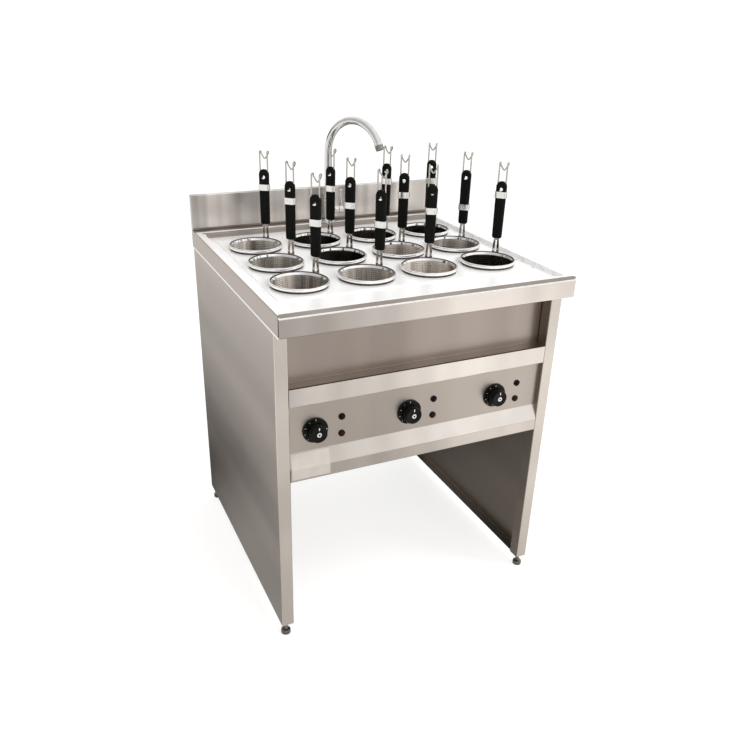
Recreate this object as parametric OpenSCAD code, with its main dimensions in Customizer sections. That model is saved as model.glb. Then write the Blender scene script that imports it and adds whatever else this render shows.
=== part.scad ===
// Pasta cooker: twelve lift-out strainers over one electric water tank, with a swivel tap.
// Millimetres. +X is right, +Y is back, +Z is up. The front with the knobs faces -Y.
// The origin is on the floor, under the middle of the worktop.

/* [Worktop] */
// Height of the worktop's rim above the floor
top_h = 830; // [760:5:950]
// Thickness of the sheet steel
sheet_t = 1.5; // [1:0.1:2]
// Drop of the fascia below the rim
fascia_h = 48; // [36:1:60]
// Radius of the fascia's front top edge
edge_r = 7; // [4:0.5:9]
// Depth of the hem folded in under the front fascia
hem_d = 12; // [8:1:20]
// Width of the raised rim at the front and sides
rim_w = 20; // [14:1:30]
// Drop of the sunk deck below the rim
deck_drop = 11; // [8:1:16]
// Free deck on the left and right of the strainer plate
deck_side = 17; // [8:1:40]
// Free deck in front of the strainer plate
deck_front = 89; // [70:1:120]
// Free deck behind the strainer plate
deck_rear = 43; // [30:1:70]
// Depth of the rear ledge that carries the tap
ledge_d = 46; // [44:1:70]
// Height of the splashback above the rim
splash_h = 90; // [50:5:150]
// Thickness of the folded splashback
splash_t = 18; // [12:1:25]

/* [Strainer plate] */
// Thickness of the plate
plate_t = 2; // [1.5:0.1:3]
// Plate left and right of the outer strainers
plate_side = 14.5; // [13:0.5:25]
// Plate in front of the front strainers
plate_front = 18.5; // [13:0.5:30]
// Plate behind the rear strainers
plate_rear = 32.5; // [13:0.5:50]
// Width of plate that rests on the deck
plate_lip = 8; // [5:0.5:9]
// Height of the flange under the plate
plate_flange_h = 12; // [6:1:20]
// Room between the flange and the deck's opening
plate_clear = 1; // [0.5:0.1:1.5]

/* [Strainers] */
// Distance between strainers, left to right
pitch_x = 158; // [152:1:180]
// Distance between strainers, front to back
pitch_y = 155; // [152:1:180]
// Outer diameter of the neck that fills the plate's hole
neck_d = 123; // [110:1:126]
// Room round the neck in the plate's hole
neck_clear = 1.2; // [0.5:0.1:2]
// Height of the straight neck below the plate's top
neck_h = 16; // [8:1:30]
// Outer diameter of the strainer's floor
bowl_floor_d = 112; // [100:1:118]
// Depth of the strainer below the plate's top
bowl_h = 150; // [120:5:180]
// Radius of the strainer's lower edge
bowl_r = 14; // [6:1:20]
// Wall of the strainer
bowl_t = 1.2; // [0.8:0.1:2]
// Outer diameter of the rolled rim
bowl_rim_d = 131; // [128:0.5:138]
// Height of the rolled rim
bowl_rim_h = 11; // [6:0.5:14]
// Radius of the rolled rim's top edges
bowl_rim_r = 2.4; // [1:0.1:3]

/* [Handles] */
// Distance from the rolled rim to the middle of the handle
handle_out = 15.5; // [13.5:0.5:22.5]
// Height of the grip's lower end above the plate
grip_lift = 40; // [36:1:60]
// Length of the grip
grip_l = 137; // [110:1:150]
// Width of the grip at its top
grip_w = 26; // [25.5:0.5:32]
// Width of the grip at its lower end
grip_end_w = 24; // [20:0.5:25.5]
// Thickness of the grip
grip_t = 13; // [11:0.5:18]
// Diameter of the hanging hole
hang_d = 9; // [5:0.5:10]
// Distance of the hanging hole below the grip's top
hang_drop = 19; // [15:0.5:30]
// Width of the strap between rim and grip
strap_w = 18; // [12:0.5:20]
// Thickness of the strap
strap_t = 2.5; // [2:0.1:3.5]
// Width of the slot between the strap's legs
strap_slot_w = 6; // [4:0.5:8]
// Height of the strap's foot above the plate
strap_gap = 1; // [0.5:0.1:2]
// Width of the tang inside the grip
tang_w = 10; // [6:0.5:12]
// Length of the tang inside the grip
tang_l = 45; // [25:1:60]
// Room round the tang and the hook's legs in the grip
grip_clear = 0.15; // [0.05:0.05:0.3]
// Diameter of the hook's wire
wire_d = 3.6; // [2:0.1:4]
// Distance between the hook's two legs
wire_gap = 19; // [16:0.5:19.5]
// Depth of the legs inside the grip
wire_in = 26; // [15:1:40]
// Height of the hook above the grip
hook_h = 44; // [34:1:60]
// Radius of the hook's bend
hook_r = 5; // [4:0.5:7]
// Drop of the hook's cross wire to its lowest point
hook_dip = 13; // [8:1:18]

/* [Bands] */
// Height of the sliding band
band_h = 15; // [8:0.5:20]
// Wall of the sliding band
band_t = 1.2; // [0.8:0.1:2]
// Room between band and grip
band_clear = 0.35; // [0.3:0.05:0.6]

/* [Side panels] */
// Height of the panels' lower edge above the floor
foot_h = 34; // [30:1:60]
// Distance of the front posts behind the fascia
post_in = 36.5; // [20:0.5:45]
// Width of the folded posts
post_w = 30; // [26:1:45]
// Depth of the posts' inner return
post_d = 30; // [26:1:40]
// Width of the lip folded in at the foot
lip_w = 25; // [24:1:40]

/* [Front] */
// Height of the open recess under the fascia
recess_h = 128; // [80:1:150]
// Depth of the recess behind the posts
recess_d = 32; // [20:1:40]
// Height of the rail under the recess
rail_h = 44; // [30:1:60]
// Height of the flat control panel
panel_h = 115; // [100:1:140]
// Distance of the control panel behind the rail
panel_in = 11.5; // [6:0.5:16]
// Height of the slanted skirt
skirt_h = 35; // [20:1:50]
// Height of the skirt's upright lip
skirt_lip = 31; // [20:1:45]
// Depth of the skirt's bottom return
skirt_return = 30; // [20:1:50]
// Depth of the control box behind the panel
box_d = 170; // [120:5:220]

/* [Controls] */
// Distance between the knobs
knob_pitch = 226.5; // [180:0.5:240]
// Distance of the knobs' row left of the middle
knob_shift = 31; // [0:0.5:40]
// Height of the knobs' axis below the control panel's top edge
knob_drop = 67; // [45:0.5:70]
// Diameter of the knob's dial skirt
knob_d = 58; // [50:0.5:64]
// Thickness of the dial skirt
knob_skirt_t = 4; // [3:0.5:6]
// Diameter of the knob's boss at its root
knob_boss_d = 42; // [36:0.5:46]
// Diameter of the knob's boss at its face
knob_face_d = 39; // [32:0.5:42]
// Height of the boss in front of the dial skirt
knob_boss_h = 21; // [14:0.5:28]
// Diameter of the knob's centre cap
knob_cap_d = 11; // [8:0.5:16]
// Height of the knob's centre cap
knob_cap_h = 1; // [0.5:0.1:2]
// Room between the dial skirt and the panel
knob_gap = 0.8; // [0.5:0.1:2]
// Diameter of the thermostat's spindle
spindle_d = 6; // [5:0.1:8]
// Length of the spindle inside the thermostat
spindle_in = 20; // [12:1:26]
// Room behind the spindle's end
spindle_room = 2; // [1:0.5:4]
// Running room round a turning shaft
shaft_clear = 0.05; // [0.02:0.01:0.1]
// Diameter of the hole for the thermostat's bush
bush_hole_d = 12; // [11:0.5:14]
// Room between bush or lamp and its hole in the panel
panel_clear = 0.2; // [0.1:0.05:0.4]
// Side of the thermostat's square body
stat_w = 46; // [36:1:60]
// Depth of the thermostat's body
stat_d = 38; // [32:1:60]
// Distance of the lamps right of their knob
lamp_x = 62; // [52:0.5:70]
// Distance between the upper and the lower lamp
lamp_pitch = 41; // [30:0.5:50]
// Diameter of the lamp's bezel
lamp_d = 15.5; // [13:0.5:20]
// Diameter of the lamp's body in the panel
lamp_body_d = 11; // [8:0.5:12]
// Length of the lamp's body behind the panel
lamp_body_l = 26; // [15:1:40]
// Height of the lamp's bezel
lamp_bezel_h = 2.5; // [1.5:0.1:4]
// Height of the lamp's lens above the bezel
lamp_lens_h = 2.5; // [1:0.1:4]
// Width of the terminal block
terminal_w = 90; // [60:1:140]
// Depth of the terminal block
terminal_d = 24; // [16:1:40]
// Height of the terminal block
terminal_h = 28; // [16:1:40]

/* [Water side] */
// Room between the strainers' floors and the tank's floor
tank_gap = 30; // [26:1:60]
// Width of the tank's flange under the deck
tank_flange = 12; // [8:1:12]
// Diameter of the heating tubes
heater_d = 8.5; // [6:0.5:12]
// Height of the heating tubes' axis above the tank's floor
heater_z = 12; // [9:0.5:14]
// Distance between the two legs of a heating element
heater_gap = 60; // [40:1:120]
// Distance between the heating elements
heater_pitch = 190; // [150:5:200]
// Room between the heating elements' bend and the tank's rear wall
heater_room = 40; // [20:1:80]
// Diameter of the heating elements' wall nuts
heater_nut_d = 22; // [18:1:28]
// Length of the heating elements' heads in front of the tank
heater_head = 24; // [15:1:30]
// Place of the drain, left of the middle
drain_x = 150; // [100:5:220]
// Place of the drain, behind the middle
drain_y = 120; // [60:5:160]
// Diameter of the drain's spigots
drain_d = 26.4; // [20:0.1:33]
// Bore of the drain
drain_bore = 18; // [12:0.5:19]
// Length of the drain's upper spigot
drain_neck = 26; // [15:1:40]
// Diameter of the drain valve's body
drain_body_d = 42; // [36:1:52]
// Height of the drain valve's body
drain_body_h = 48; // [40:1:60]
// Length of the drain's outlet thread
drain_out = 20; // [12:1:30]
// Diameter of the drain valve's spindle
drain_pin_d = 8; // [6:0.5:12]
// Wall round the drain valve's spindle
drain_pin_wall = 3; // [2:0.5:5]
// Length of the spindle's housing in front of the valve's body
drain_pin_out = 6; // [4:0.5:12]
// Length of the drain lever
drain_lever_l = 85; // [60:1:110]
// Width of the drain lever
drain_lever_w = 16; // [12:0.5:24]
// Thickness of the drain lever
drain_lever_t = 3; // [2:0.5:5]

/* [Tap] */
// Place of the tap right of the middle
tap_x = 19; // [-40:1:60]
// Distance of the tap behind the deck's step
tap_in = 20; // [19.5:0.5:24]
// Diameter of the tap's base flange
tap_base_d = 38; // [32:0.5:38]
// Thickness of the tap's base flange
tap_base_t = 6; // [4:0.5:10]
// Diameter of the tap's pillar
tap_body_d = 24; // [22:0.5:28]
// Height of the pillar above the rim
tap_body_h = 66; // [60:1:90]
// Depth of the spout's socket in the pillar
tap_socket = 20; // [12:1:22]
// Diameter of the spout's pivot
tap_pin_d = 16; // [12:0.5:18]
// Height of the collar at the spout's foot
spout_collar_h = 6; // [4:0.5:12]
// Diameter of the spout's tube
spout_d = 19; // [16:0.5:22]
// Height of the riser above the rim
spout_rise = 187; // [150:1:240]
// Radius of the gooseneck
spout_r = 86; // [60:1:100]
// Sweep of the gooseneck in degrees
spout_sweep = 155; // [140:1:175]
// Turn of the spout from straight forward, towards the right, in degrees
spout_turn = 28; // [0:1:40]
// Diameter of the nozzle
nozzle_d = 22; // [20:0.5:26]
// Length of the nozzle
nozzle_l = 16; // [10:0.5:24]
// Depth of the nozzle's mouth
nozzle_mouth = 4; // [2:0.5:8]
// Wall of the nozzle round its mouth
nozzle_wall = 2; // [1:0.5:4]
// Height of the side valve's axis above the rim
valve_z = 33; // [20:0.5:34]
// Diameter of the side valve
valve_d = 20; // [16:0.5:23]
// Reach of the side valve from the tap's axis
valve_l = 30; // [22:1:40]
// Diameter of the valve's spindle
valve_pin_d = 8; // [5:0.5:10]
// Length of the turning cap on the side valve
valve_cap_l = 14; // [10:1:20]
// Length of the tap lever above its axis
lever_l = 54; // [35:1:58]
// Diameter of the tap lever
lever_d = 5; // [4:0.5:7]
// Diameter of the ball at the tap lever's end
lever_ball_d = 7.5; // [6:0.5:10]
// Diameter of the shank in the worktop and its nut
shank_top_d = 23; // [22:0.5:24]
// Length of the shank's thick upper part below the rim
shank_top_l = 20; // [10:1:26]
// Diameter of the threaded shank
shank_d = 20.9; // [18:0.1:21]
// Length of the shank below the rim
shank_l = 60; // [50:1:90]
// Diameter of the shank's nut under the worktop
tap_nut_d = 29; // [27:0.5:30]
// Height of the shank's nut
tap_nut_h = 6; // [4:0.5:8]
// Room between a seated turning part and its seat
seat_gap = 0.3; // [0.1:0.1:0.5]

/* [Rear and feet] */
// Distance of the rear panel in front of the posts' rear face
rear_in = 25; // [20:0.5:28]
// Place of the cable gland right of the middle
gland_x = 210; // [100:5:260]
// Height of the cable gland above the rear panel's lower edge
gland_z = 60; // [40:5:120]
// Diameter of the gland
gland_d = 30; // [26:0.5:36]
// Diameter of the gland's outer cap
gland_cap_d = 25; // [20:0.5:26]
// Bore of the gland
gland_bore = 14; // [8:0.5:18]
// Wall of the gland in the panel
gland_wall = 2.5; // [2:0.1:4]
// Length of the gland behind the panel
gland_l = 20; // [12:0.5:20]
// Thickness of the gland's nut inside the panel
gland_nut_t = 5; // [3:0.5:8]
// Diameter of the rear panel's screw heads
screw_d = 8; // [6:0.5:10]
// Height of the screw heads
screw_h = 2.5; // [1.5:0.1:4]
// Distance of the screws from the rear panel's edges
screw_edge = 14; // [10:0.5:20]
// Diameter of the feet
foot_d = 23; // [20:0.5:26]
// Height of the feet's pads
foot_pad_h = 12; // [8:0.5:16]
// Diameter of the feet's stems
foot_stem_d = 10; // [8:0.5:12]
// Length of the stems above the panels' lip
foot_stem_in = 34; // [30:1:60]
// Outer diameter of the foot nuts
foot_nut_d = 18; // [16:0.5:20]
// Height of the foot nuts
foot_nut_h = 12; // [8:0.5:16]

/* [Hidden] */
$fn = 64;
column_count = 4;
row_count = 3;
columns = [0 : column_count - 1];
// Direction of each handle from its strainer, in degrees from +Y towards +X, front row first
handle_turns = [[47, 46, 28, 46.5], [45, 41, 32.5, 45], [36, 50, 51, 36]];
// Height of each band on its grip, as a share of the grip's length below its top
band_places = [[0.44, 0.56, 0.44, 0.23], [0.33, 0.49, 0.39, 0.68], [0.32, 0.40, 0.33, 0.40]];

plate_w = (column_count - 1) * pitch_x + neck_d + 2 * plate_side;
plate_d = (row_count - 1) * pitch_y + neck_d + plate_front + plate_rear;
deck_w = plate_w + 2 * deck_side;
top_w = deck_w + 2 * rim_w;
top_d = rim_w + deck_front + plate_d + deck_rear + ledge_d + splash_t;
front_y = -top_d / 2;
rear_y = top_d / 2;
deck_y0 = front_y + rim_w;
plate_y0 = deck_y0 + deck_front;
plate_y1 = plate_y0 + plate_d;
deck_y1 = plate_y1 + deck_rear;
splash_y = deck_y1 + ledge_d;
row_y0 = plate_y0 + plate_front + neck_d / 2;
deck_z = top_h - deck_drop;
under_z = deck_z - sheet_t;
plate_z = deck_z + plate_t;
fascia_z = top_h - fascia_h;

skin_x = top_w / 2 - sheet_t;
post_x = skin_x - post_w;
post_y = front_y + post_in;
panel_rear_y = rear_y - sheet_t;
back_y = panel_rear_y - rear_in;
recess_y = post_y + recess_d;
rail_z1 = fascia_z - recess_h;
rail_z0 = rail_z1 - rail_h;
panel_y = post_y + panel_in;
panel_z0 = rail_z0 - panel_h;
skirt_z = panel_z0 - skirt_h;
skirt_z0 = skirt_z - skirt_lip;
knob_z = rail_z0 - knob_drop;

tank_w = plate_w - 2 * plate_lip;
tank_y0 = plate_y0 + plate_lip;
tank_y1 = plate_y1 - plate_lip;
tank_z = plate_z - bowl_h - tank_gap;
tank_z0 = tank_z - sheet_t;
box_gap = 3;
box_z1 = min(rail_z0, tank_z0 - box_gap);

tap_y = deck_y1 + tap_in;
valve_h = top_h + valve_z;
drain_body_z = tank_z0 - drain_neck - drain_body_h;
drain_pin_z = drain_body_z + drain_body_h / 2;
drain_pin_l = drain_body_d / 2 + drain_pin_out;
drain_chamber = drain_body_h / 3;
foot_x = skin_x - sheet_t - lip_w / 2;
foot_in = post_d / 2;
overlap = 1;
rim_inner_r = neck_d / 2 - bowl_t;
roll_share = 0.48;
handle_r = bowl_rim_d / 2 + handle_out;
grip_z = plate_z + grip_lift;
grip_top = grip_z + grip_l;
ball_share = 1.04;
steel = "silver";
bright = "gainsboro";
black = "#161616";

function strainer_x(col) = (col - (column_count - 1) / 2) * pitch_x;
function strainer_y(row) = row_y0 + row * pitch_y;
function arc(cx, cy, r, from, to, steps = 6) = [
    for (i = [0 : steps]) let (a = from + (to - from) * i / steps) [cx + r * cos(a), cy + r * sin(a)]
];

// A block between two corners
module block(low, high) {
    translate(low) cube(high - low);
}

// A flat outline in Y and Z, drawn out along X between x0 and x1
module along_x(x0, x1) {
    translate([x0, 0, 0]) rotate([90, 0, 90]) linear_extrude(x1 - x0) children();
}

// A cylinder from a point along +X, or along -Y towards the front
module rod_x(at, r, l) {
    translate(at) rotate([0, 90, 0]) cylinder(r = r, h = l);
}

module rod_front(at, r, l) {
    translate(at) rotate([90, 0, 0]) cylinder(r = r, h = l);
}

// Side outline of the worktop's outer box, with its rounded front top edge
module worktop_outline(inset) {
    r = edge_r - inset;
    y0 = front_y + inset;
    z1 = top_h - inset;
    difference() {
        translate([y0, fascia_z]) square([rear_y - inset - y0, z1 - fascia_z]);
        translate([y0 - overlap, z1 - r]) square([r + overlap, r + overlap]);
    }
    translate([y0 + r, z1 - r]) circle(r);
}

module countertop() {
    color(steel) {
        difference() {
            along_x(-top_w / 2, top_w / 2) worktop_outline(0);
            along_x(-skin_x, skin_x) union() {
                worktop_outline(sheet_t);
                translate([front_y + sheet_t, fascia_z - overlap])
                    square([top_d - 2 * sheet_t, fascia_h / 2]);
            }
            block([-deck_w / 2, deck_y0, deck_z], [deck_w / 2, deck_y1, top_h + overlap]);
            translate([tap_x, tap_y, under_z]) cylinder(d = shank_top_d + 2 * panel_clear, h = fascia_h);
            block([-skin_x, splash_y + sheet_t, top_h - 2 * sheet_t],
                [skin_x, panel_rear_y, top_h + overlap]);
        }
        block([-skin_x, front_y + sheet_t, fascia_z], [skin_x, front_y + hem_d, fascia_z + sheet_t]);
        difference() {
            wall = [sheet_t, sheet_t, 0];
            block([-deck_w / 2, deck_y0, under_z] - wall, [deck_w / 2, deck_y1, top_h - sheet_t / 2] + wall);
            block([-deck_w / 2, deck_y0, deck_z], [deck_w / 2, deck_y1, top_h + overlap]);
            block([-tank_w / 2, tank_y0, under_z - overlap], [tank_w / 2, tank_y1, deck_z + overlap]);
        }
        difference() {
            block([-top_w / 2, splash_y, top_h - sheet_t], [top_w / 2, rear_y, top_h + splash_h]);
            block([-skin_x, splash_y + sheet_t, top_h - 2 * sheet_t],
                [skin_x, panel_rear_y, top_h + splash_h - sheet_t]);
        }
    }
}

module hole_plate() {
    inset = plate_lip + plate_clear;
    color(bright) difference() {
        union() {
            block([-plate_w / 2, plate_y0, deck_z], [plate_w / 2, plate_y1, plate_z]);
            difference() {
                low = [inset - plate_w / 2, plate_y0 + inset, deck_z - plate_flange_h];
                high = [plate_w / 2 - inset, plate_y1 - inset, deck_z + plate_t / 2];
                wall = [sheet_t, sheet_t, 0];
                block(low, high);
                block(low + wall - [0, 0, overlap], high - wall + [0, 0, overlap]);
            }
        }
        for (row = [0 : row_count - 1], col = columns)
            translate([strainer_x(col), strainer_y(row), deck_z - plate_flange_h - overlap])
                cylinder(d = neck_d + 2 * neck_clear, h = plate_flange_h + plate_t + 2 * overlap);
    }
}

module water_tank() {
    wall = [sheet_t, sheet_t, 0];
    edge = [tank_flange, tank_flange, 0];
    low = [-tank_w / 2, tank_y0, tank_z];
    high = [tank_w / 2, tank_y1, under_z];
    color(steel) difference() {
        union() {
            block(low - wall - [0, 0, sheet_t], high + wall);
            block([low[0], low[1], under_z - sheet_t] - edge, high + edge);
        }
        block(low, high + [0, 0, overlap]);
        for (x = heater_legs())
            rod_front([x, tank_y0 + overlap, tank_z + heater_z],
                heater_d / 2 + panel_clear, 2 * overlap + sheet_t);
        translate([-drain_x, drain_y, tank_z0 - overlap])
            cylinder(d = drain_bore, h = sheet_t + 2 * overlap);
    }
}

function heater_legs() = [for (i = [-1 : 1], side = [-1, 1]) i * heater_pitch + side * heater_gap / 2];

// One side panel, as the left one: skin, folded posts, lip at the foot and two foot nuts
module side_panel() {
    color(steel) difference() {
        union() {
            block([-skin_x, post_y, foot_h], [sheet_t - skin_x, panel_rear_y, under_z]);
            block([-skin_x, post_y, foot_h], [-post_x, post_y + sheet_t, under_z]);
            block([-post_x - sheet_t, post_y, foot_h], [-post_x, post_y + post_d, under_z]);
            block([-skin_x, panel_rear_y - sheet_t, foot_h], [-post_x, panel_rear_y, under_z]);
            block([-post_x - sheet_t, panel_rear_y - post_d, foot_h], [-post_x, panel_rear_y, under_z]);
            block([-skin_x, post_y, foot_h], [sheet_t + lip_w - skin_x, panel_rear_y, foot_h + sheet_t]);
            for (y = foot_places()) translate([-foot_x, y, foot_h]) cylinder(d = foot_nut_d, h = foot_nut_h);
        }
        for (y = foot_places())
            translate([-foot_x, y, foot_h - overlap])
                cylinder(d = foot_stem_d + 2 * shaft_clear, h = foot_nut_h + 2 * overlap);
    }
}

function foot_places() = [post_y + foot_in, panel_rear_y - foot_in];

module left_side_panel() {
    side_panel();
}

module right_side_panel() {
    mirror([1, 0, 0]) side_panel();
}

module rear_panel() {
    at = [gland_x, back_y, skirt_z0 + gland_z];
    thread_r = gland_bore / 2 + gland_wall;
    screw_x = post_x - screw_edge;
    screw_places = [skirt_z0 + screw_edge, (skirt_z0 + under_z) / 2, under_z - screw_edge];
    color(steel) difference() {
        block([-post_x, back_y - sheet_t, skirt_z0], [post_x, back_y, top_h - sheet_t]);
        rod_front(at + [0, overlap, 0], thread_r, sheet_t + 2 * overlap);
    }
    color(steel) for (x = [-screw_x, screw_x], z = screw_places)
        rod_front([x, back_y + screw_h, z], screw_d / 2, screw_h);
    color("darkgray") difference() {
        union() {
            rod_front(at + [0, gland_l, 0], gland_cap_d / 2, gland_l);
            rod_front(at + [0, gland_l / 2, 0], gland_d / 2, gland_l / 2);
            rod_front(at, thread_r - panel_clear, sheet_t);
            rod_front(at - [0, sheet_t, 0], gland_d / 2, gland_nut_t);
        }
        rod_front(at + [0, gland_l + overlap, 0],
            gland_bore / 2, gland_l + sheet_t + gland_nut_t + 2 * overlap);
    }
}

module recess_panel() {
    color(steel) along_x(-post_x, post_x) union() {
        translate([recess_y, rail_z1 - sheet_t]) square([sheet_t, under_z - rail_z1 + sheet_t]);
        translate([post_y, rail_z1 - sheet_t]) square([recess_d + sheet_t / 2, sheet_t]);
        translate([post_y, rail_z0]) square([sheet_t, rail_h]);
        translate([post_y, rail_z0]) square([panel_in + sheet_t, sheet_t]);
    }
}

module control_box() {
    y0 = panel_y + sheet_t;
    y1 = panel_y + box_d;
    z0 = skirt_z0 + sheet_t;
    color(steel) {
        block([-post_x, y0, z0], [post_x, y1, z0 + sheet_t]);
        block([-post_x, y1 - sheet_t, z0], [post_x, y1, box_z1]);
        for (side = [0, 1]) mirror([side, 0, 0])
            block([-post_x, post_y + post_d, z0], [sheet_t - post_x, y1, box_z1]);
    }
}

// Bent sheet of the control panel: flat face, slanted skirt, upright lip and bottom return
module panel_outline() {
    polygon([
        [panel_y, rail_z0], [panel_y, panel_z0], [post_y, skirt_z], [post_y, skirt_z0],
        [post_y + skirt_return, skirt_z0], [post_y + skirt_return, skirt_z0 + sheet_t],
        [post_y + sheet_t, skirt_z0 + sheet_t], [post_y + sheet_t, skirt_z],
        [panel_y + sheet_t, panel_z0], [panel_y + sheet_t, rail_z0]
    ]);
}

function knob_x(i) = (i - 1) * knob_pitch - knob_shift;
function lamp_places() =
    [for (i = [0 : 2], side = [-1, 1]) [knob_x(i) + lamp_x, panel_y, knob_z + side * lamp_pitch / 2]];

module control_panel() {
    color(steel) difference() {
        along_x(-post_x, post_x) panel_outline();
        for (i = [0 : 2])
            rod_front([knob_x(i), panel_y + 2 * sheet_t, knob_z], bush_hole_d / 2, 3 * sheet_t);
        for (at = lamp_places())
            rod_front(at + [0, 2 * sheet_t, 0], lamp_body_d / 2 + panel_clear, 3 * sheet_t);
    }
}

module knob(i) {
    stem = knob_gap + spindle_in + sheet_t;
    face = knob_gap + knob_skirt_t + knob_boss_h;
    color(black) translate([knob_x(i), panel_y, knob_z]) rotate([90, 0, 0]) {
        translate([0, 0, knob_gap]) cylinder(d = knob_d, h = knob_skirt_t);
        translate([0, 0, knob_gap + knob_skirt_t])
            cylinder(d1 = knob_boss_d, d2 = knob_face_d, h = knob_boss_h);
        translate([0, 0, face]) cylinder(d = knob_cap_d, h = knob_cap_h);
        translate([0, 0, knob_gap - stem]) cylinder(d = spindle_d, h = stem);
    }
}

module knob_left() {
    knob(0);
}

module knob_middle() {
    knob(1);
}

module knob_right() {
    knob(2);
}

module pilot_lamps() {
    color("#241818") for (at = lamp_places()) translate(at) rotate([90, 0, 0]) {
        cylinder(d = lamp_d, h = lamp_bezel_h);
        cylinder(d1 = lamp_body_d, d2 = lamp_body_d / 2, h = lamp_bezel_h + lamp_lens_h);
        translate([0, 0, -lamp_body_l]) cylinder(d = lamp_body_d, h = lamp_body_l);
    }
}

// Three capillary thermostats on the panel's back, and a terminal block on the box's floor
module thermostats() {
    half = stat_w / 2;
    y = panel_y + sheet_t;
    bore_l = spindle_in + spindle_room;
    color("beige") for (i = [0 : 2]) difference() {
        union() {
            block([knob_x(i) - half, y, knob_z - half], [knob_x(i) + half, y + stat_d, knob_z + half]);
            rod_front([knob_x(i), y, knob_z], bush_hole_d / 2 - panel_clear, sheet_t);
        }
        rod_front([knob_x(i), y + bore_l, knob_z], spindle_d / 2 + shaft_clear, bore_l + 2 * sheet_t);
    }
    color("beige")
        translate([-terminal_w / 2, panel_y + box_d - sheet_t - terminal_d, skirt_z0 + 2 * sheet_t])
            cube([terminal_w, terminal_d, terminal_h]);
}

// Three hairpin tubes low in the tank, each with two wall nuts and heads in front of the tank
module heating_elements() {
    z = tank_z + heater_z;
    bend_y = tank_y1 - heater_room - heater_gap / 2;
    head_y = tank_y0 - sheet_t;
    color("dimgray") for (i = [-1 : 1]) translate([i * heater_pitch, 0, z]) {
        for (side = [-1, 1]) {
            rod_front([side * heater_gap / 2, bend_y, 0], heater_d / 2, bend_y - head_y + heater_head);
            rod_front([side * heater_gap / 2, head_y, 0], heater_nut_d / 2, heater_head / 2);
        }
        translate([0, bend_y, 0]) rotate_extrude(angle = 180)
            translate([heater_gap / 2, 0]) circle(d = heater_d);
    }
}

module drain_valve() {
    color("goldenrod") translate([-drain_x, drain_y, 0]) difference() {
        union() {
            translate([0, 0, tank_z0 - drain_neck]) cylinder(d = drain_d, h = drain_neck);
            translate([0, 0, drain_body_z]) cylinder(d = drain_body_d, h = drain_body_h);
            translate([0, 0, drain_body_z - drain_out]) cylinder(d = drain_d, h = drain_out);
            rod_front([0, 0, drain_pin_z], drain_pin_d / 2 + drain_pin_wall, drain_pin_l);
        }
        translate([0, 0, drain_body_z - drain_out - overlap])
            cylinder(d = drain_bore, h = drain_chamber + drain_out);
        translate([0, 0, tank_z0 - drain_neck - drain_chamber])
            cylinder(d = drain_bore, h = drain_chamber + drain_neck + overlap);
        rod_front([0, -drain_pin_l / 2, drain_pin_z], drain_pin_d / 2 + shaft_clear, drain_pin_l);
    }
}

module drain_lever() {
    blade_y = -drain_pin_l - seat_gap;
    half = drain_lever_w / 2;
    color("firebrick") translate([-drain_x, drain_y, drain_pin_z]) {
        rod_front([0, blade_y + drain_pin_l / 2, 0], drain_pin_d / 2, drain_pin_l / 2 + drain_lever_t);
        rod_front([0, blade_y, 0], half, drain_lever_t);
        block([0, blade_y - drain_lever_t, -half], [drain_lever_l, blade_y, half]);
    }
}

module tap_body() {
    color(bright) translate([tap_x, tap_y, top_h]) {
        difference() {
            union() {
                translate([0, 0, -shank_l]) cylinder(d = shank_d, h = shank_l);
                translate([0, 0, -shank_top_l]) cylinder(d = shank_top_d, h = shank_top_l);
                cylinder(d = tap_base_d, h = tap_base_t);
                cylinder(d = tap_body_d, h = tap_body_h);
                rod_x([0, 0, valve_z], valve_d / 2, valve_l);
            }
            translate([0, 0, tap_body_h - tap_socket])
                cylinder(d = tap_pin_d + 2 * shaft_clear, h = tap_socket + overlap);
            rod_x([valve_l / 2, 0, valve_z], valve_pin_d / 2 + shaft_clear, valve_l);
        }
        translate([0, 0, -sheet_t - tap_nut_h]) difference() {
            cylinder(d = tap_nut_d, h = tap_nut_h);
            translate([0, 0, -overlap])
                cylinder(d = shank_top_d + 2 * shaft_clear, h = tap_nut_h + 2 * overlap);
        }
    }
}

module tap_spout() {
    seat = tap_body_h + seat_gap;
    end_out = spout_r * (1 - cos(spout_sweep));
    end_z = spout_rise + spout_r * sin(spout_sweep);
    color(bright) translate([tap_x, tap_y, top_h]) rotate([0, 0, spout_turn - 90]) {
        translate([0, 0, seat - tap_socket]) cylinder(d = tap_pin_d, h = tap_socket);
        translate([0, 0, seat]) cylinder(d = tap_body_d, h = spout_collar_h);
        translate([0, 0, seat]) cylinder(d = spout_d, h = spout_rise - seat);
        translate([spout_r, 0, spout_rise]) rotate([90, 0, 0]) mirror([1, 0, 0])
            rotate_extrude(angle = spout_sweep) translate([spout_r, 0]) circle(d = spout_d);
        translate([end_out, 0, end_z]) rotate([0, spout_sweep, 0]) difference() {
            translate([0, 0, -overlap]) cylinder(d = nozzle_d, h = nozzle_l + overlap);
            translate([0, 0, nozzle_l - nozzle_mouth])
                cylinder(d = nozzle_d - 2 * nozzle_wall, h = nozzle_mouth + overlap);
        }
    }
}

module tap_lever() {
    color(bright) translate([tap_x, tap_y, valve_h]) {
        rod_x([valve_l / 2 + 2 * seat_gap, 0, 0], valve_pin_d / 2, valve_l / 2);
        rod_x([valve_l + seat_gap, 0, 0], valve_d / 2, valve_cap_l);
        translate([valve_l + seat_gap + valve_cap_l / 2, 0, 0]) {
            cylinder(d = lever_d, h = lever_l - lever_d);
            translate([0, 0, lever_l - lever_d]) sphere(d = lever_ball_d);
        }
    }
}

module foot(x, y) {
    color("dimgray") translate([x, y, 0]) {
        cylinder(d = foot_d, h = foot_pad_h);
        cylinder(d = foot_stem_d, h = foot_h + foot_stem_in);
    }
}

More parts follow.
